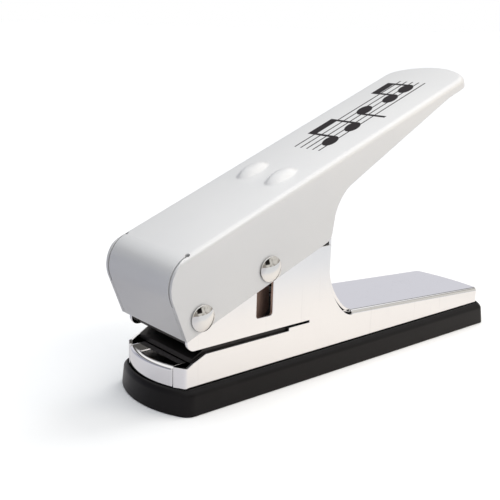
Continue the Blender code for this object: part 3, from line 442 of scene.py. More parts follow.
def trayPlastic():
    look = {
        "color": (0.0060, 0.0052, 0.0056), "dust": (0.022, 0.021, 0.022), "rough": 0.30,
        "cloud": (70, 4, 0.6), "cloudTone": (0.45, 0.9, 0.25), "cloudRough": (0.3, 0.8, 0.12),
        "fleck": (1900, 1), "fleckTone": (0.70, 0.78, 0.12),
        "grainScale": 1500, "grainBump": (0.03 * mm, 0.35),
    }
    material, recipe, use = finish("trayPlastic", Specular_IOR_Level=0.18)
    place = recipe.place()
    grain = recipe.add("ShaderNodeTexVoronoi", {"feature": 'SMOOTH_F1'},
                       {"Vector": place, "Scale": look["grainScale"]})
    cloud = recipe.noise(place, *look["cloud"])
    dusty = (cloud.part(*look["cloudTone"])
             + recipe.noise(place, *look["fleck"]).part(*look["fleckTone"]))
    return use(Base_Color=recipe.blend(dusty, look["color"], look["dust"]),
               Roughness=look["rough"] + cloud.part(*look["cloudRough"]),
               Normal=recipe.bump(grain, *look["grainBump"]))


def brushedSteel(name, color, rough, along=(0.05, 1, 1), scale=2600, depth=0.004 * mm, metal=1.0):
    look = {"shade": tuple(c * 0.80 for c in color), "cloud": (160, 3), "cloudTone": (0.4, 0.8, 0.6),
            "brush": (3, 0.6), "brushRough": 0.14, "brushStrength": 0.5}
    material, recipe, use = finish(name, Metallic=metal)
    place = recipe.place()
    brush = recipe.noise(recipe.stretched(place, along), scale, *look["brush"])
    cloud = recipe.noise(place, *look["cloud"]).part(*look["cloudTone"])
    return use(Base_Color=recipe.blend(cloud, color, look["shade"]),
               Roughness=rough + brush * look["brushRough"],
               Normal=recipe.bump(brush, depth, look["brushStrength"]))


def plainNylon():
    look = {"color": (0.80, 0.78, 0.70), "shade": (0.70, 0.67, 0.58), "cloud": (300, 3),
            "rough": 0.45, "cloudRough": 0.15, "cloudBump": (0.01 * mm, 0.4)}
    material, recipe, use = finish("naturalNylon")
    cloud = recipe.noise(recipe.place(), *look["cloud"])
    return use(Base_Color=recipe.blend(cloud, look["color"], look["shade"]),
               Roughness=look["rough"] + cloud * look["cloudRough"],
               Normal=recipe.bump(cloud, *look["cloudBump"]))


paint = pearlPaint()
chrome = mirrorChrome("bodyChrome")
rivetChrome = mirrorChrome("rivetChrome", (0.80, 0.79, 0.77), 0.05)
plastic = trayPlastic()
blackenedSteel = brushedSteel("blackenedSteel", (0.060, 0.056, 0.055), 0.34)
oiledSteel = brushedSteel("oiledSteel", (0.46, 0.31, 0.25), 0.42, metal=0.3)
zincPlate = brushedSteel("zincPlate", (0.60, 0.61, 0.63), 0.30, (1, 1, 1), 900, 0.008 * mm)
springWire = brushedSteel("springWire", (0.36, 0.36, 0.38), 0.26, (1, 1, 1), 1500, 0.003 * mm)
bronze = brushedSteel("sinteredBronze", (0.56, 0.38, 0.18), 0.38, (1, 1, 1), 3000, 0.010 * mm)
nylon = plainNylon()
print("finishes made:", len(bpy.data.materials))


# Lever

lever = {
    "top": 20.3 * mm,            # pivot to the top face
    "nose": 7.7 * mm,            # pivot to the front face
    "noseRadius": 10.5 * mm, "noseTool": (4 * mm, 30 * mm),    # how far it reaches ahead and down
    "skirt": 24.5 * mm, "skirtRear": 56.0 * mm, "skirtCorner": 3.4 * mm,
    "reach": 143.2 * mm, "endRadius": 25 * mm, "cornerRadius": 7.5 * mm, "longBend": 1.9 * mm,
    "gripStart": (63.6 * mm, 11.8 * mm), "gripEnd": (125.2 * mm, 3.8 * mm),
    "gripRound": 14 * mm,
    "seam": (16.25 * mm, 16.85 * mm), "seamTail": 1.6 * mm,
    "reliefRadius": 0.8 * mm, "reliefY": 16.3 * mm, "reliefDepth": 4 * mm,
    "groove": (0.25 * mm, 0.35 * mm),    # width and depth of the line below the seam
    "grooveStart": 2.2 * mm,             # how far below the roll it starts
    "slotSlack": 0.15 * mm, "slotRoundShare": 0.98,
    "dimpleX": 50.6 * mm, "dimpleY": 7.05 * mm,
    "dimpleSize": (12.8 * mm, 7.8 * mm, 1.9 * mm), "dimpleBlend": 0.16 * mm,
    "dimplePatch": (42 * mm, 59 * mm, 12 * mm),    # its two ends and its half width
    "dimpleCuts": 63,
    "edge": 0.08 * mm,
    "gripSteps": 18, "cornerSteps": 10, "endSteps": 28, "bendSteps": 8, "noseSteps": 24,
}


def dimpleRise(place, inset):
    # height of the two pressed domes above the plate
    long, wide, high = lever["dimpleSize"]
    blend = lever["dimpleBlend"]
    rise = 0
    for y in (-lever["dimpleY"], lever["dimpleY"]):
        away = (((place.x - lever["dimpleX"]) / (long / 2 - inset)) ** 2
                + ((place.y - y) / (wide / 2 - inset)) ** 2)
        swell = high * (1 - away ** 1.5)
        rise += (sqrt(swell * swell + blend ** 2) + swell) / 2
    return rise


def pressDimples(bm, inset):
    # splits a patch off the top, fills it with a fine grid and lifts it
    low, high, side = lever["dimplePatch"]
    middle = Vector(((low + high) / 2, 0, lever["top"] - inset))

    def split(face, place, normal):
        bmesh.ops.bisect_plane(bm, geom=[face, *face.edges, *face.verts], plane_co=place,
                               plane_no=normal, dist=merge["fine"])
        bm.normal_update()

    def topFaces():
        return [face for face in bm.faces if face.normal.z > 0.99]

    def patch():
        return min(topFaces(), key=lambda face: (face.calc_center_bounds() - middle).length)

    for x in (low, high):
        split(max(topFaces(), key=lambda face: face.calc_area()), (x, 0, 0), (1, 0, 0))
    for y in (-side, side):
        split(patch(), (0, y, 0), (0, 1, 0))
    before = set(bm.verts)
    bmesh.ops.subdivide_edges(bm, edges=patch().edges[:], cuts=lever["dimpleCuts"],
                              use_grid_fill=True)
    for vert in bm.verts:
        inside = (low + sameLevel < vert.co.x < high - sameLevel
                  and abs(vert.co.y) < side - sameLevel)
        if vert not in before and inside:
            vert.co.z += dimpleRise(vert.co, inset)


def leverBlock(name, inset, floor, rear):
    # the folded lever as a full block, its faces moved inwards by the inset
    half, top = press["leverHalf"] - inset, lever["top"] - inset
    endX = lever["reach"] - lever["endRadius"]
    corner = lever["cornerRadius"] - inset
    cornerY = half - corner
    cornerX = endX + sqrt((lever["endRadius"] - lever["cornerRadius"]) ** 2 - cornerY ** 2)
    lean = atan2(cornerY, cornerX - endX)
    ahead = -lever["nose"] - 2 * overrun
    side = [(ahead, floor[0][1], 0), *floor, (cornerX, rear, 0), (cornerX, top, 0),
            (ahead, top, 0)]
    bm = closed(side, -half, half, 'Y', lever["gripSteps"])
    back = [face for face in bm.faces if face.normal.x > 0.99
            and abs(face.calc_center_median().x - cornerX) < sameLevel]
    bmesh.ops.delete(bm, geom=back, context='FACES_ONLY')

    rim = edgeAt(bm, (cornerX, -half, rear), (cornerX, -half, top))
    for centre, angle, steps in (((cornerX, -cornerY, 0), pi / 2 - lean, lever["cornerSteps"]),
                                 ((endX, 0, 0), 2 * lean, lever["endSteps"]),
                                 ((cornerX, cornerY, 0), pi / 2 - lean, lever["cornerSteps"])):
        rim = spinEdge(bm, rim, centre, (0, 0, 1), angle, steps)
    bmesh.ops.remove_doubles(bm, verts=bm.verts, dist=merge["spun"])
    for level in (rear, top):
        bmesh.ops.contextual_create(bm, geom=[
            edge for edge in bm.edges if edge.is_boundary
            and all(abs(vert.co.z - level) < sameLevel for vert in edge.verts)])
    bmesh.ops.recalc_face_normals(bm, faces=bm.faces)
    bm.normal_update()
    pressDimples(bm, inset)

    # the sharp edges of the top take the long bend, except the one in front
    weight = bm.edges.layers.float.new("bevel_weight_edge")
    for edge in bm.edges:
        level = all(abs(vert.co.z - top) < merge["fine"] for vert in edge.verts)
        first, second = edge.link_faces
        sharp = first.normal.angle(second.normal, 0) > radians(60)
        if level and sharp and (edge.verts[0].co + edge.verts[1].co).x > 2 * ahead + overrun:
            edge[weight] = 1.0
    block = makeObject(name, bm, leverPlace)
    modify(block, 'BEVEL', limit_method='WEIGHT', width=lever["longBend"] - inset,
           segments=lever["bendSteps"], use_clamp_overlap=False)
    settle(block)
    cutAway(block, noseTool(inset))
    return block


def noseTool(inset):
    # everything in front of the rolled nose; the arc ends just above the top
    front, top = inset - lever["nose"], lever["top"] - inset
    radius, wide = lever["noseRadius"] - inset, press["leverHalf"] + overrun
    low, ahead, steps = top - lever["noseTool"][1], front - lever["noseTool"][0], lever["noseSteps"]
    turns = [k * pi / 2 / steps for k in range(steps)]
    arc = [(front + radius * (1 - cos(turn)), top - radius * (1 - sin(turn)), 0) for turn in turns]
    outline = [(ahead, low, 0), (front, low, 0), *arc, (front + radius, top + 2 * sameLevel, 0),
               (front + radius, top + overrun, 0), (ahead, top + overrun, 0)]
    return makeObject("noseTool", closed(outline, -wide, wide, 'Y'), leverPlace)


def seamTool(side):
    # a thin blade that follows the roll of the nose and runs on a little below it
    bm = bmesh.new()
    rollX, rollZ = lever["noseRadius"] - lever["nose"], lever["top"] - lever["noseRadius"]
    inner = lever["noseRadius"] - sheetThickness - overrun
    outer = lever["noseRadius"] + overrun
    near, far = (side * y for y in lever["seam"])
    verts = [bm.verts.new((rollX, y, rollZ + radius))
             for y, radius in ((near, inner), (far, inner), (far, outer), (near, outer))]
    bm.faces.new(verts)
    spun = bmesh.ops.spin(bm, geom=bm.faces[:] + bm.edges[:] + bm.verts[:], cent=(rollX, 0, rollZ),
                          axis=(0, 1, 0), angle=-pi / 2, steps=lever["noseSteps"])
    last = [item for item in spun["geom_last"] if isinstance(item, bmesh.types.BMFace)]
    pushFaces(bm, last, (0, 0, -lever["seamTail"]))
    bmesh.ops.delete(bm, geom=last, context='FACES_ONLY')
    tidyMesh(bm)
    return makeObject("seamTool", bm, leverPlace)


def leverTools():
    # the seams come last, because the holes at their ends are cut in whole sheet
    bore, top = press["pinRadius"] + gap, lever["top"]
    wide = press["leverHalf"] + overrun
    pinHole = turned(rod(bore, -wide, wide), (0, 0, 0), 'Y', 40)
    tools = [makeObject("pivotHoleTool", pinHole, leverPlace)]

    run, rise = press["ramX"] - press["pivot"].x, press["pinZ"] - press["pivot"].z
    angle = press["leverAngle"]
    restX = run * cos(angle) + rise * sin(angle)
    restZ = rise * cos(angle) - run * sin(angle)
    half = bore + lever["slotSlack"]
    slot = oblong(run - bore, restX + bore, restZ - half, restZ + half,
                  half * lever["slotRoundShare"])
    tools.append(makeObject("driveSlotTool", closed(slot, -wide, wide, 'Y'), leverPlace))

    rollX = lever["noseRadius"] - lever["nose"]
    hole = rod(lever["reliefRadius"], top - lever["reliefDepth"], top + overrun)
    for side in (-1, 1):
        relief = turned(hole, (rollX, side * lever["reliefY"], 0), 'Z', 24)
        tools.append(makeObject("reliefTool", relief, leverPlace))

    wide, deep = lever["groove"]
    line = oblong(-lever["nose"] - overrun, deep - lever["nose"], top - lever["skirt"] - overrun,
                  top - lever["noseRadius"] - lever["grooveStart"])
    for side in (-1, 1):
        edges = sorted((side * lever["seam"][0], side * (lever["seam"][0] + wide)))
        tools.append(makeObject("grooveTool", closed(line, *edges, 'Y'), leverPlace))
    return tools + [seamTool(side) for side in (-1, 1)]


def makeLever():
    top = lever["top"]
    low = top - lever["skirt"]
    grips = [(x, top - drop, lever["gripRound"]) for x, drop in (lever["gripStart"], lever["gripEnd"])]
    skirt = [(lever["skirtRear"], low, lever["skirtCorner"]), *grips]
    shell = leverBlock("leverShell", 0, skirt, grips[-1][1])
    deep = low - 3 * overrun
    hollow = leverBlock("leverHollow", sheetThickness, [(lever["skirtRear"], deep, 0)], deep)
    cutAway(shell, hollow, *leverTools())
    softenEdges(shell, lever["edge"])
    enlist(shell, "lever", "silver_paint", paint, "handle_shell")


makeLever()
print("lever made")


# Body

body = {
    "jawFront": -72.1 * mm, "towerRear": -11.95 * mm, "towerTop": 45.2 * mm,
    "brow": (-50.0 * mm, 8 * mm),        # where the top starts to slope down, and its radius
    "towerNose": (39.5 * mm, 6.0 * mm),  # height of the front corner, and its radius
    "backTop": 47.05 * mm,
    "sweepTop": 34.0 * mm, "sweepDropShare": 0.30, "sweepRunShare": 0.48,
    "platformX": 0.5 * mm, "platformZ": 19.4 * mm, "slope": radians(3.8),
    "slotFloor": 18.2 * mm, "slotTop": 20.1 * mm, "slotStep": (-30.0 * mm, 0.15 * mm),
    "slotNarrow": 19.3 * mm, "slotEnd": (-20.6 * mm, 0.1 * mm),
    "mouthX": -64.9 * mm, "mouthLow": (-69.8 * mm, 16.1 * mm), "mouthRound": 0.5 * mm,
    "lip": 2.8 * mm,
    "apronTop": 15.0 * mm, "apronHalf": 11.9 * mm, "shelf": -65.5 * mm,
    "pinSlotHalf": 3.45 * mm, "pinSlotFloor": 25.4 * mm, "pinSlotRounds": (0.3 * mm, 1.0 * mm),
    "footLength": 9.0 * mm, "footReach": 7.5 * mm,
    "pivotHole": 3.45 * mm, "screwHole": (1.4 * mm, 1 * mm, 5 * mm),    # radius, low and high end
    "edge": 0.18 * mm, "bendSteps": 8,
}


def platformHeight(x):
    return body["platformZ"] - (x - body["platformX"]) * tan(body["slope"])


def rearX(y):
    return (press["rearApex"] - press["bend"] - press["rearRadius"]
            + sqrt(press["rearRadius"] ** 2 - y ** 2))


def sweepCurve(steps=28):
    # from the tower's back down to the platform, below the sheet's outer face
    high = Vector((body["towerRear"], body["sweepTop"]))
    low = Vector((body["platformX"], platformHeight(body["platformX"]) - press["bend"]))
    drop, run = high.y - low.y, low.x - high.x
    level = Vector((cos(body["slope"]), -sin(body["slope"])))
    return [Vector(p[:2]) for p in interpolate_bezier(
        high, high - Vector((0, drop * body["sweepDropShare"])),
        low - level * run * body["sweepRunShare"], low, steps)]


def wallCorners(frontX, endX):
    # the wall's outline from its rear foot round the front to the top of the sweep
    b, half = body, body["footLength"] / 2
    feet = [(x + side * half, wallLow, 0) for x in reversed(press["footX"]) for side in (1, -1)]
    (stepX, stepRound), (slotEndX, endRound) = b["slotStep"], b["slotEnd"]
    (browX, browRound), (noseZ, noseRound) = b["brow"], b["towerNose"]
    pinLeft, pinRight = (press["ramX"] + side * b["pinSlotHalf"] for side in (-1, 1))
    rimRound, floorRound = b["pinSlotRounds"]
    return [
        (endX, wallLow, 0), *feet, (frontX, wallLow, 0), (frontX, b["apronTop"], 0),
        (*b["mouthLow"], b["mouthRound"]), (b["mouthX"], b["slotFloor"], b["mouthRound"]),
        (stepX, b["slotFloor"], stepRound), (stepX, b["slotNarrow"], stepRound),
        (slotEndX, b["slotNarrow"], endRound), (slotEndX, b["slotTop"], endRound),
        (b["jawFront"], b["slotTop"], b["lip"]), (b["jawFront"], noseZ, noseRound),
        (browX, b["towerTop"], browRound), (pinLeft, b["towerTop"], rimRound),
        (pinLeft, b["pinSlotFloor"], floorRound), (pinRight, b["pinSlotFloor"], floorRound),
        (pinRight, b["towerTop"], rimRound), (b["towerRear"], b["towerTop"], 0)]


def foldPlatform(bm, start, end):
    # folds the wall's top edge in and fills the platform; gives its front edge and rear row
    bend = press["bend"]
    ridge = edgeAt(bm, (start.x, -press["wallOuter"], start.y), (end.x, -press["wallOuter"], end.y))
    along = Vector((end.x - start.x, 0, end.y - start.y)).normalized()
    fold = spinEdge(bm, ridge, (start.x, -webHalf, start.y), along, -pi / 2, body["bendSteps"])
    front, rear = sorted(fold.verts, key=lambda vert: vert.co.x)
    lift = rear.co.z - end.y
    middle = bm.verts.new((front.co.x, 0, front.co.z))
    row, steps = [rear], 14
    for k in range(1, steps + 1):
        y = webHalf * (k / steps - 1)
        row.append(bm.verts.new((rearX(y), y, platformHeight(rearX(y)) - bend + lift)))
    bm.faces.new([front, *row, middle])
    return bm.edges.get((front, middle)), row


def foldFlange(bm, row):
    # rolls the platform's rear edge over and runs it down as the curved flange
    bend, steps = press["bend"], body["bendSteps"]
    edges = [bm.edges.get(pair) for pair in zip(row, row[1:])]
    ys = sorted(vert.co.y for vert in row)
    for k in range(1, steps + 2):
        turn = min(k, steps) * pi / 2 / steps
        edges = pullEdges(bm, edges, lambda place: place)
        fresh = {vert for edge in edges for vert in edge.verts}
        for vert, y in zip(sorted(fresh, key=lambda vert: vert.co.y), ys):
            lean = asin(y / press["rearRadius"])
            level = platformHeight(rearX(y)) - bend
            out = Vector((cos(lean), sin(lean), 0))
            vert.co = Vector((rearX(y), y, level)) + out * bend * sin(turn)
            vert.co.z = wallLow if k > steps else level + bend * cos(turn)


def raiseBack(bm, edge, sweep):
    # runs the platform on up the back of the tower
    bend = press["bend"]
    path = [point + Vector((bend, bend)) for point in reversed(sweep[:-1])]
    path.append(Vector((body["towerRear"] + bend, body["backTop"])))
    edges = [edge]
    for point in path:
        edges = pullEdges(bm, edges, lambda place: Vector((point.x, place.y, point.y)))


def foldFront(bm, frontX):
    # turns the wall's front edge in along the apron's curve
    wide = press["wallOuter"]
    lean = asin(webHalf / (press["apronRadius"] - press["bend"]))
    edge = edgeAt(bm, (frontX, -wide, wallLow), (frontX, -wide, body["apronTop"]))
    edge = spinEdge(bm, edge, (frontX, -webHalf, 0), (0, 0, 1), lean - pi / 2, body["bendSteps"])
    reach = (-edge.verts[0].co.y - body["apronHalf"] - gap) / cos(lean)
    pullEdges(bm, [edge], lambda place: place + Vector((-sin(lean), cos(lean), 0)) * reach)


def foldFeet(bm):
    wide, half = press["wallOuter"], body["footLength"] / 2
    for x in press["footX"]:
        edge = edgeAt(bm, (x - half, -wide, wallLow), (x + half, -wide, wallLow))
        edge = spinEdge(bm, edge, (x, -webHalf, wallLow), (1, 0, 0), pi / 2, 6)
        pullEdges(bm, [edge], lambda place: place + Vector((0, body["footReach"], 0)))


def bodySkin():
    # half of the folded sheet, near side; the other half is its mirror image
    bm = bmesh.new()
    frontX = (press["apronApex"] + press["apronRadius"]
              - sqrt((press["apronRadius"] - press["bend"]) ** 2 - webHalf ** 2))
    endX = rearX(webHalf)
    sweep = sweepCurve()
    lowRear = Vector((endX, platformHeight(endX) - press["bend"]))
    corners = wallCorners(frontX, endX) + [(*point, 0) for point in (*sweep, lowRear)]
    outlineFace(bm, corners, lambda a, b: (a, -press["wallOuter"], b), 10)
    frontEdge, rearRow = foldPlatform(bm, sweep[-1], lowRear)
    foldFlange(bm, rearRow)
    raiseBack(bm, frontEdge, sweep)
    foldFront(bm, frontX)
    foldFeet(bm)
    bmesh.ops.mirror(bm, geom=bm.verts[:] + bm.edges[:] + bm.faces[:], axis='Y',
                     merge_dist=merge["usual"])
    tidyMesh(bm)
    return bm


def makeBody():
    shell = makeObject("bodyShell", bodySkin())
    thicken(shell)
    wide, bore = press["wallOuter"] + overrun, body["pivotHole"]
    tools = [makeObject("bushHoleTool", turned(rod(bore, -wide, wide), press["pivot"], 'Y', 40))]
    for x, y in footPlaces:
        drill = turned(rod(*body["screwHole"]), (x, y, 0), 'Z', 24)
        tools.append(makeObject("footHoleTool", drill))
    cutAway(shell, *tools)
    softenEdges(shell, body["edge"])
    enlist(shell, "base", "chrome", chrome, "frame_shell")


def makeApron():
    # a strip bent to the curve of the front, with its top folded back as a shelf
    bm = bmesh.new()
    radius, bend, top = press["apronRadius"], press["bend"], body["apronTop"]
    centre = Vector((press["apronApex"] + radius, 0, 0))
    lean = asin(body["apronHalf"] / radius)
    start = bm.verts.new(centre + Vector((-cos(lean) * radius, sin(lean) * radius,
                                          press["floorZ"])))
    bmesh.ops.spin(bm, geom=[start], cent=centre, axis=(0, 0, 1), angle=2 * lean, steps=32)
    edges = bm.edges[:]
    for k in range(body["bendSteps"] + 1):
        turn = k * pi / 2 / body["bendSteps"]
        inset, height = bend * (1 - cos(turn)), top - bend * (1 - sin(turn))

        def along(place):
            out = Vector((place.x, place.y, 0)) - centre
            spot = centre + out.normalized() * (radius - inset)
            return Vector((spot.x, spot.y, height))

        edges = pullEdges(bm, edges, along)
    pullEdges(bm, edges, lambda place: Vector((body["shelf"], place.y, top)))
    tidyMesh(bm)
    bm.normal_update()
    front = min(bm.faces, key=lambda face: face.calc_center_median().x)
    if front.normal.x > 0:
        bmesh.ops.reverse_faces(bm, faces=bm.faces)
    apron = makeObject("frontApron", bm)
    thicken(apron)
    softenEdges(apron, body["edge"])
    enlist(apron, "base", "chrome", chrome, "front_apron")


makeBody()
makeApron()
print("body made")


# Tray

tray = {
    "sideBorder": 3.1 * mm, "endBorder": 2.3 * mm, "draft": 0.7 * mm, "rimZ": 7.0 * mm,
    "ledgeZ": 8.2 * mm, "ledge": 0.8 * mm, "floor": 2.0 * mm,
    "frontCorner": 4.5 * mm, "rearCorner": 3.0 * mm,
    "rimRound": (0.9 * mm, 4), "footRound": (0.5 * mm, 3),    # radius and segments
    "wellCorner": 1.8 * mm, "wellHeight": 9 * mm,
    "dropHalf": (15.65 * mm, 13.4 * mm), "dropCorner": 0.8 * mm,
    "screwRecess": (2.7 * mm, 1.2 * mm), "screwHole": 1.4 * mm, "cutTop": 4 * mm,
    "edge": 0.25 * mm, "edgeAngle": 40,
}


def trayOutline(bm, side, end, z, frontCorner, rearCorner):
    # one level of the tray: a bowed front and rear with rounded corners
    half = press["wallOuter"] + side
    known = set(bm.edges)
    tips = []
    for middle, radius, corner, flip in (
            (press["rearApex"] - press["rearRadius"], press["rearRadius"] + end, rearCorner, 1),
            (press["apronApex"] + press["apronRadius"], press["apronRadius"] + end,
             frontCorner, -1)):
        lean = asin((half - corner) / (radius - corner))
        cornerX = middle + flip * (radius - corner) * cos(lean)
        tip = bm.verts.new((cornerX, -flip * half, z))
        tips.append(tip)
        for centre, angle, steps in (
                ((cornerX, -flip * (half - corner), 0), pi / 2 - lean, 8),
                ((middle, 0, 0), 2 * lean, 24),
                ((cornerX, flip * (half - corner), 0), pi / 2 - lean, 8)):
            spun = bmesh.ops.spin(bm, geom=[tip], cent=centre, axis=(0, 0, 1), angle=angle,
                                  steps=steps)
            tip = vertsOf(spun["geom_last"])[0]
        tips.append(tip)
    bm.edges.new((tips[1], tips[2]))
    bm.edges.new((tips[3], tips[0]))
    return [edge for edge in bm.edges if edge not in known]


def trayBlock():
    t, bm = tray, bmesh.new()
    levels = [(t["sideBorder"], t["endBorder"], 0),
              (t["sideBorder"] - t["draft"], t["endBorder"] - t["draft"], t["rimZ"]),
              (t["ledge"], t["ledge"], t["ledgeZ"])]
    loops = [trayOutline(bm, side, end, z, t["frontCorner"], t["rearCorner"])
             for side, end, z in levels]
    for lower, upper in zip(loops, loops[1:]):
        bmesh.ops.bridge_loops(bm, edges=lower + upper)
    bmesh.ops.contextual_create(bm, geom=loops[0])
    bmesh.ops.contextual_create(bm, geom=loops[-1])
    bmesh.ops.recalc_face_normals(bm, faces=bm.faces)
    for z, (radius, segments) in ((t["rimZ"], t["rimRound"]), (0, t["footRound"])):
        ring = [edge for edge in bm.edges
                if all(abs(vert.co.z - z) < sameLevel for vert in edge.verts)]
        bmesh.ops.bevel(bm, geom=ring, offset=radius, offset_type='OFFSET', segments=segments,
                        profile=0.5, affect='EDGES', material=-1)
    return makeObject("trayMoulding", bm)


def trayTools():
    t, well = tray, bmesh.new()
    bmesh.ops.contextual_create(well, geom=trayOutline(well, gap, gap, t["floor"],
                                                       t["wellCorner"], t["wellCorner"]))
    pushFaces(well, well.faces[:], (0, 0, t["wellHeight"]))
    tidyMesh(well)

    x, (long, wide) = press["ramX"], t["dropHalf"]
    drop = oblong(x - long, x + long, -wide, wide, t["dropCorner"])
    tools = [makeObject("wellTool", well),
             makeObject("dropTool", closed(drop, -overrun, t["cutTop"], 'Z'))]
    (recess, deep), hole = t["screwRecess"], t["screwHole"]
    profile = [(0, -overrun), (recess, -overrun), (recess, deep), (hole, deep),
               (hole, t["cutTop"]), (0, t["cutTop"])]
    for x, y in footPlaces:
        tools.append(makeObject("recessTool", turned(profile, (x, y, 0), 'Z', 32)))
    return tools


def makeTray():
    base = trayBlock()
    cutAway(base, *trayTools())
    # the bevel would close the openings of the many-sided faces
    modify(base, 'TRIANGULATE', min_vertices=5)
    softenEdges(base, tray["edge"], angle=tray["edgeAngle"])
    enlist(base, "base", "black_base", plastic, "base_tray")


makeTray()
print("tray made")


# Rivets

rivet = {
    "head": 4.3 * mm, "dome": 1.3 * mm, "rim": 0.3 * mm, "seat": 18.2 * mm, "capDepth": 0.8 * mm,
    "edge": 0.12 * mm, "edgeAngle": 40, "domeSteps": 16, "steps": 72,
}


def domeProfile(side):
    # a slice of a sphere
    head, high, rim = rivet["head"], rivet["dome"], rivet["seat"] + rivet["rim"]
    radius = (head ** 2 + high ** 2) / (2 * high)
    turns = [asin(head / radius) * k / rivet["domeSteps"] for k in range(rivet["domeSteps"] + 1)]
    return [(radius * sin(turn), side * (rim + high - radius * (1 - cos(turn)))) for turn in turns]


def makeRivet(name, centre, bodyName, node):
    pin, head, seat = press["pinRadius"], rivet["head"], rivet["seat"]
    socket = seat + rivet["capDepth"]
    tip = socket - gap
    shank = domeProfile(-1) + [(head, -seat), (pin, -seat), (pin, tip), (0, tip)]
    cap = domeProfile(1) + [(head, seat), (pin + gap, seat), (pin + gap, socket), (0, socket)]
    for part, profile, stood in (("", shank, node), ("Cap", cap, node + "_cap")):
        piece = makeObject(name + part, turned(profile, centre, 'Y', rivet["steps"]))
        softenEdges(piece, rivet["edge"], angle=rivet["edgeAngle"])
        enlist(piece, bodyName, "rivet", rivetChrome, stood)


makeRivet("pivotRivet", press["pivot"], "lever", "pivot_pin")
makeRivet("driveRivet", Vector((press["ramX"], 0, press["pinZ"])), "ram", "drive_pin")
print("rivets made")


# Return springs

spring = {"radius": 2.7, "wire": 0.35, "turns": 7, "low": 23.85, "high": 42.55, "stepsPerTurn": 28,
          "places": {"Front": -61.0, "Rear": -21.5}, "ramTravel": 11.8}


def makeSpring(name, x, node):
    wire = bpy.data.curves.new(name, 'CURVE')
    wire.dimensions = '3D'
    wire.bevel_depth = spring["wire"] * mm
    wire.bevel_resolution = 2
    wire.use_fill_caps = True
    count = spring["turns"] * spring["stepsPerTurn"]
    line = wire.splines.new('POLY')
    line.points.add(count)
    rise = spring["high"] - spring["low"]
    for k, point in enumerate(line.points):
        angle = 2 * pi * k / spring["stepsPerTurn"]
        point.co = ((x + spring["radius"] * cos(angle)) * mm, spring["radius"] * sin(angle) * mm,
                    (spring["low"] + rise * k / count) * mm, 1)
    coil = addObject(name, wire)
    mesh = finalMesh(coil)
    bpy.data.objects.remove(coil, do_unlink=True)
    mesh.shade_smooth()
    piece = addObject(name, mesh)
    enlist(piece, "base", "spring_steel", springWire, node)
    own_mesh(piece)


for end, x in spring["places"].items():
    makeSpring("returnSpring" + end, x, "return_spring_" + end.lower())
print("springs made")


# Pieces whose modelled shape stays as it is

kept = [
    (blackenedSteel, ["die_plate", "stripper_plate", "card_stop"]),
    (oiledSteel, ["punch"]),
    (zincPlate, ["jaw_rivet_near", "jaw_rivet_far", "crosshead", "punch_screw_front",
                 "punch_screw_rear", "guide_post_front", "guide_post_rear", "pivot_spacer",
                 "tray_screw_1", "tray_screw_2", "tray_screw_3", "tray_screw_4"]),
    (springWire, ["post_clip_front", "post_clip_rear"]),
    (bronze, ["pivot_bush_near", "pivot_bush_far"]),
    (nylon, ["slide_bush_near", "slide_bush_far"]),
    (plastic, ["pick_chute"]),
]
for material, names in kept:
    for name in names:
        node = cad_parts[name]
        node.data.materials.clear()
        node.data.materials.append(material)
        node.data.shade_smooth()
        modify(node, 'WELD', merge_threshold=merge["usual"])
        modify(node, 'EDGE_SPLIT', split_angle=radians(32))
print("kept pieces dressed")


# Floor, light and camera

studio = {
    "floor": (1.0, 1.0, 1.0), "floorRadius": 60, "floorDrop": 0.02 * mm,
    "sun": 0.94, "sunColor": (1.0, 0.985, 0.96), "sunAngle": radians(38),
    "sunToward": (0.70, 0.06, 0.70),
    "sideLamp": 0.046, "sideColor": (1.0, 0.88, 0.72), "sidePlace": Vector((0.14, -0.20, 0.18)),
    "sideSize": 0.13, "sideSpread": radians(75), "leverMiddle": Vector((0.04, 0, 0.09)),
    "strip": 0.039, "stripColor": (1.0, 0.97, 0.93), "stripAlong": 78 * mm, "stripHigh": 62 * mm,
    "stripTilt": radians(38), "stripSize": (0.19, 0.02),
}
# where one colour gives way to another, the next one is (from, to, colour)

def makeFloor():
    bm = bmesh.new()
    bmesh.ops.create_circle(bm, cap_ends=True, segments=96, radius=studio["floorRadius"])
    bmesh.ops.translate(bm, verts=bm.verts, vec=(0, 0, -studio["floorDrop"]))
    floor = makeObject("studioFloor", bm)
    material, recipe, use = finish("studioFloor", Roughness=0.9, Specular_IOR_Level=0.0)
    # the floor looks white to the camera; its warm, pale, cool and dim tones by place are painted
    # reflection that only the metal mirrors, and the halved bounce colour is painted shade on the
    # undersides
    look = {
        "bounce": (0.50, 0.48, 0.46), "besideFrom": (-0.10, -0.04),
        "warm": (0.88, 0.84, 0.805), "pale": (-0.065, -0.125, (0.80, 0.80, 0.81)),
        "cool": (0.69, 0.675, 0.70), "dim": (0.03, 0.06, (0.46, 0.46, 0.52)),
    }
    x = recipe.add("ShaderNodeSeparateXYZ", {}, {0: recipe.place()})
    beside = x.other("Y").over(look["warm"], *look["pale"])
    ahead = x.other("Y").over(look["cool"], *look["dim"])
    mirrored = recipe.blend(x.step(*look["besideFrom"]), ahead, beside)
    use(Base_Color=recipe.byRay(studio["floor"], mirrored, look["bounce"]))
    floor.data.materials.append(material)


def softSky(recipe, x, y, z):
    # soft light: cool and dim in front, warm and bright on the near side
    look = {
        "warm": (0.90, 0.885, 0.86), "front": (0.56, 0.60, 0.68), "frontFrom": (0.10, -0.60),
        "low": (0.08, 0.10, 0.14), "lowFrom": (0.60, 0.10), "near": (1.30, 1.27, 1.22),
        "nearFrom": (0.0, -0.7), "top": (0.35, 0.9, (0.82, 0.85, 0.88)),
    }
    front = x.step(*look["frontFrom"])
    soft = recipe.blend(front, look["warm"], look["front"])
    soft = recipe.blend(front * z.step(*look["lowFrom"]), soft, look["low"])
    soft = recipe.blend(y.step(*look["nearFrom"]) * (1 - front), soft, look["near"])
    return z.over(soft, *look["top"])


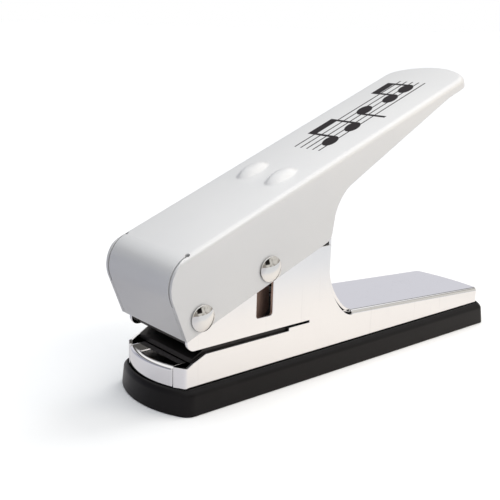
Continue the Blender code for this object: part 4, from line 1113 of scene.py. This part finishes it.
def mirroredRoom(recipe, toward, x, y, z):
    # what polished metal shows: a pale far wall under a dark band, and a dark stand nearby
    look = {
        "far": (0.70, 0.70, 0.755), "farDark": (0.27, 0.33, (0.10, 0.095, 0.09)),
        "farBright": (0.42, 0.55, (0.98, 0.98, 0.98)),
        "horizon": (0.26, 0.27, 0.33), "horizonFrom": ((-0.20, -0.40), (0.34, 0.16)),
        "near": (0.30, 0.275, 0.25), "nearPale": (0.42, 0.58, (0.72, 0.70, 0.66)),
        "nearClutter": (2.3, 2), "nearBright": (0.50, 0.75, (0.98, 0.98, 0.98)),
        "stand": (0.012, 0.010, 0.009), "standX": (0.10, 0.24, 0.18),
        "standZ": (0.42, 0.26, 0.20), "sideFrom": (0.05, -0.05),
    }
    farSide = z.over(z.over(look["far"], *look["farDark"]), *look["farBright"])
    overX, overZ = look["horizonFrom"]
    farSide = recipe.blend(x.step(*overX) * z.step(*overZ), farSide, look["horizon"])
    nearSide = recipe.noise(toward, *look["nearClutter"]).over(look["near"], *look["nearPale"])
    stand = 1
    for axis, (middle, *edges) in ((x, look["standX"]), (z, look["standZ"])):
        stand = abs(axis - middle).step(*edges) * stand
    nearSide = z.over(recipe.blend(stand, nearSide, look["stand"]), *look["nearBright"])
    return recipe.blend(y.step(*look["sideFrom"]), farSide, nearSide)


def makeWorld():
    world = bpy.data.worlds.new("studioWorld")
    bpy.context.scene.world = world
    world.use_nodes = True
    recipe = Recipe(world.node_tree)
    background = world.node_tree.nodes["Background"]
    toward = recipe.add("ShaderNodeTexCoord", output="Generated")
    x = recipe.add("ShaderNodeSeparateXYZ", {}, {0: toward})
    y, z = x.other("Y"), x.other("Z")
    room = mirroredRoom(recipe, toward, x, y, z)
    recipe.feed(background.inputs["Color"],
                recipe.byRay((1, 1, 1), room, softSky(recipe, x, y, z)))


def addLamp(name, kind, energy, color, place=(0, 0, 0), toward=(0, 0, 1), **shape):
    data = bpy.data.lights.new(name, kind)
    data.energy, data.color = energy, color
    for key, value in shape.items():
        setattr(data, key, value)
    lamp = addObject(name, data)
    lamp.location = place
    lamp.visible_camera = lamp.visible_glossy = False
    lamp.rotation_euler = Vector(toward).to_track_quat('Z', 'Y').to_euler()
    return lamp


def addStrip():
    # runs along the lever, above its near bend
    angle, tilt = press["leverAngle"], studio["stripTilt"]
    along, up = Vector((cos(angle), 0, sin(angle))), Vector((-sin(angle), 0, cos(angle)))
    away = up * cos(tilt) - Vector((0, sin(tilt), 0))
    place = (press["pivot"] + along * studio["stripAlong"] + up * lever["top"]
             + away * studio["stripHigh"])
    long, wide = studio["stripSize"]
    lamp = addLamp("strip", 'AREA', studio["strip"], studio["stripColor"],
                   shape='RECTANGLE', size=long, size_y=wide)
    turn = Matrix((along, away.cross(along), away)).transposed().to_4x4()
    lamp.matrix_world = Matrix.Translation(place) @ turn


def makeCamera():
    view = {
        "place": (-215.814, -208.939, 115.813),
        "right": (0.774957, -0.631614, 0.022481),
        "up": (0.148992, 0.217143, 0.964702),
        "forward": (0.614201, 0.744254, -0.262382),
        "lens": 61.435, "shift": (0.0414, 0.0142),
    }
    data = bpy.data.cameras.new("photoCamera")
    camera = addObject("photoCamera", data)
    axes = [Vector(view["right"]), Vector(view["up"]), -Vector(view["forward"])]
    turn = Matrix(axes).transposed().to_4x4()
    camera.matrix_world = Matrix.Translation(Vector(view["place"]) * mm) @ turn
    data.sensor_width = 36
    data.lens = view["lens"]
    data.shift_x, data.shift_y = view["shift"]
    data.clip_start, data.clip_end = 0.01, 50
    bpy.context.scene.camera = camera


makeFloor()
makeWorld()
addLamp("sun", 'SUN', studio["sun"], studio["sunColor"], toward=studio["sunToward"],
        angle=studio["sunAngle"])
addLamp("sideLamp", 'AREA', studio["sideLamp"], studio["sideColor"], studio["sidePlace"],
        studio["sidePlace"] - studio["leverMiddle"], shape='DISK', size=studio["sideSize"],
        spread=studio["sideSpread"])
addStrip()
makeCamera()
bpy.context.scene.view_settings.view_transform = 'Standard'
print("studio made")
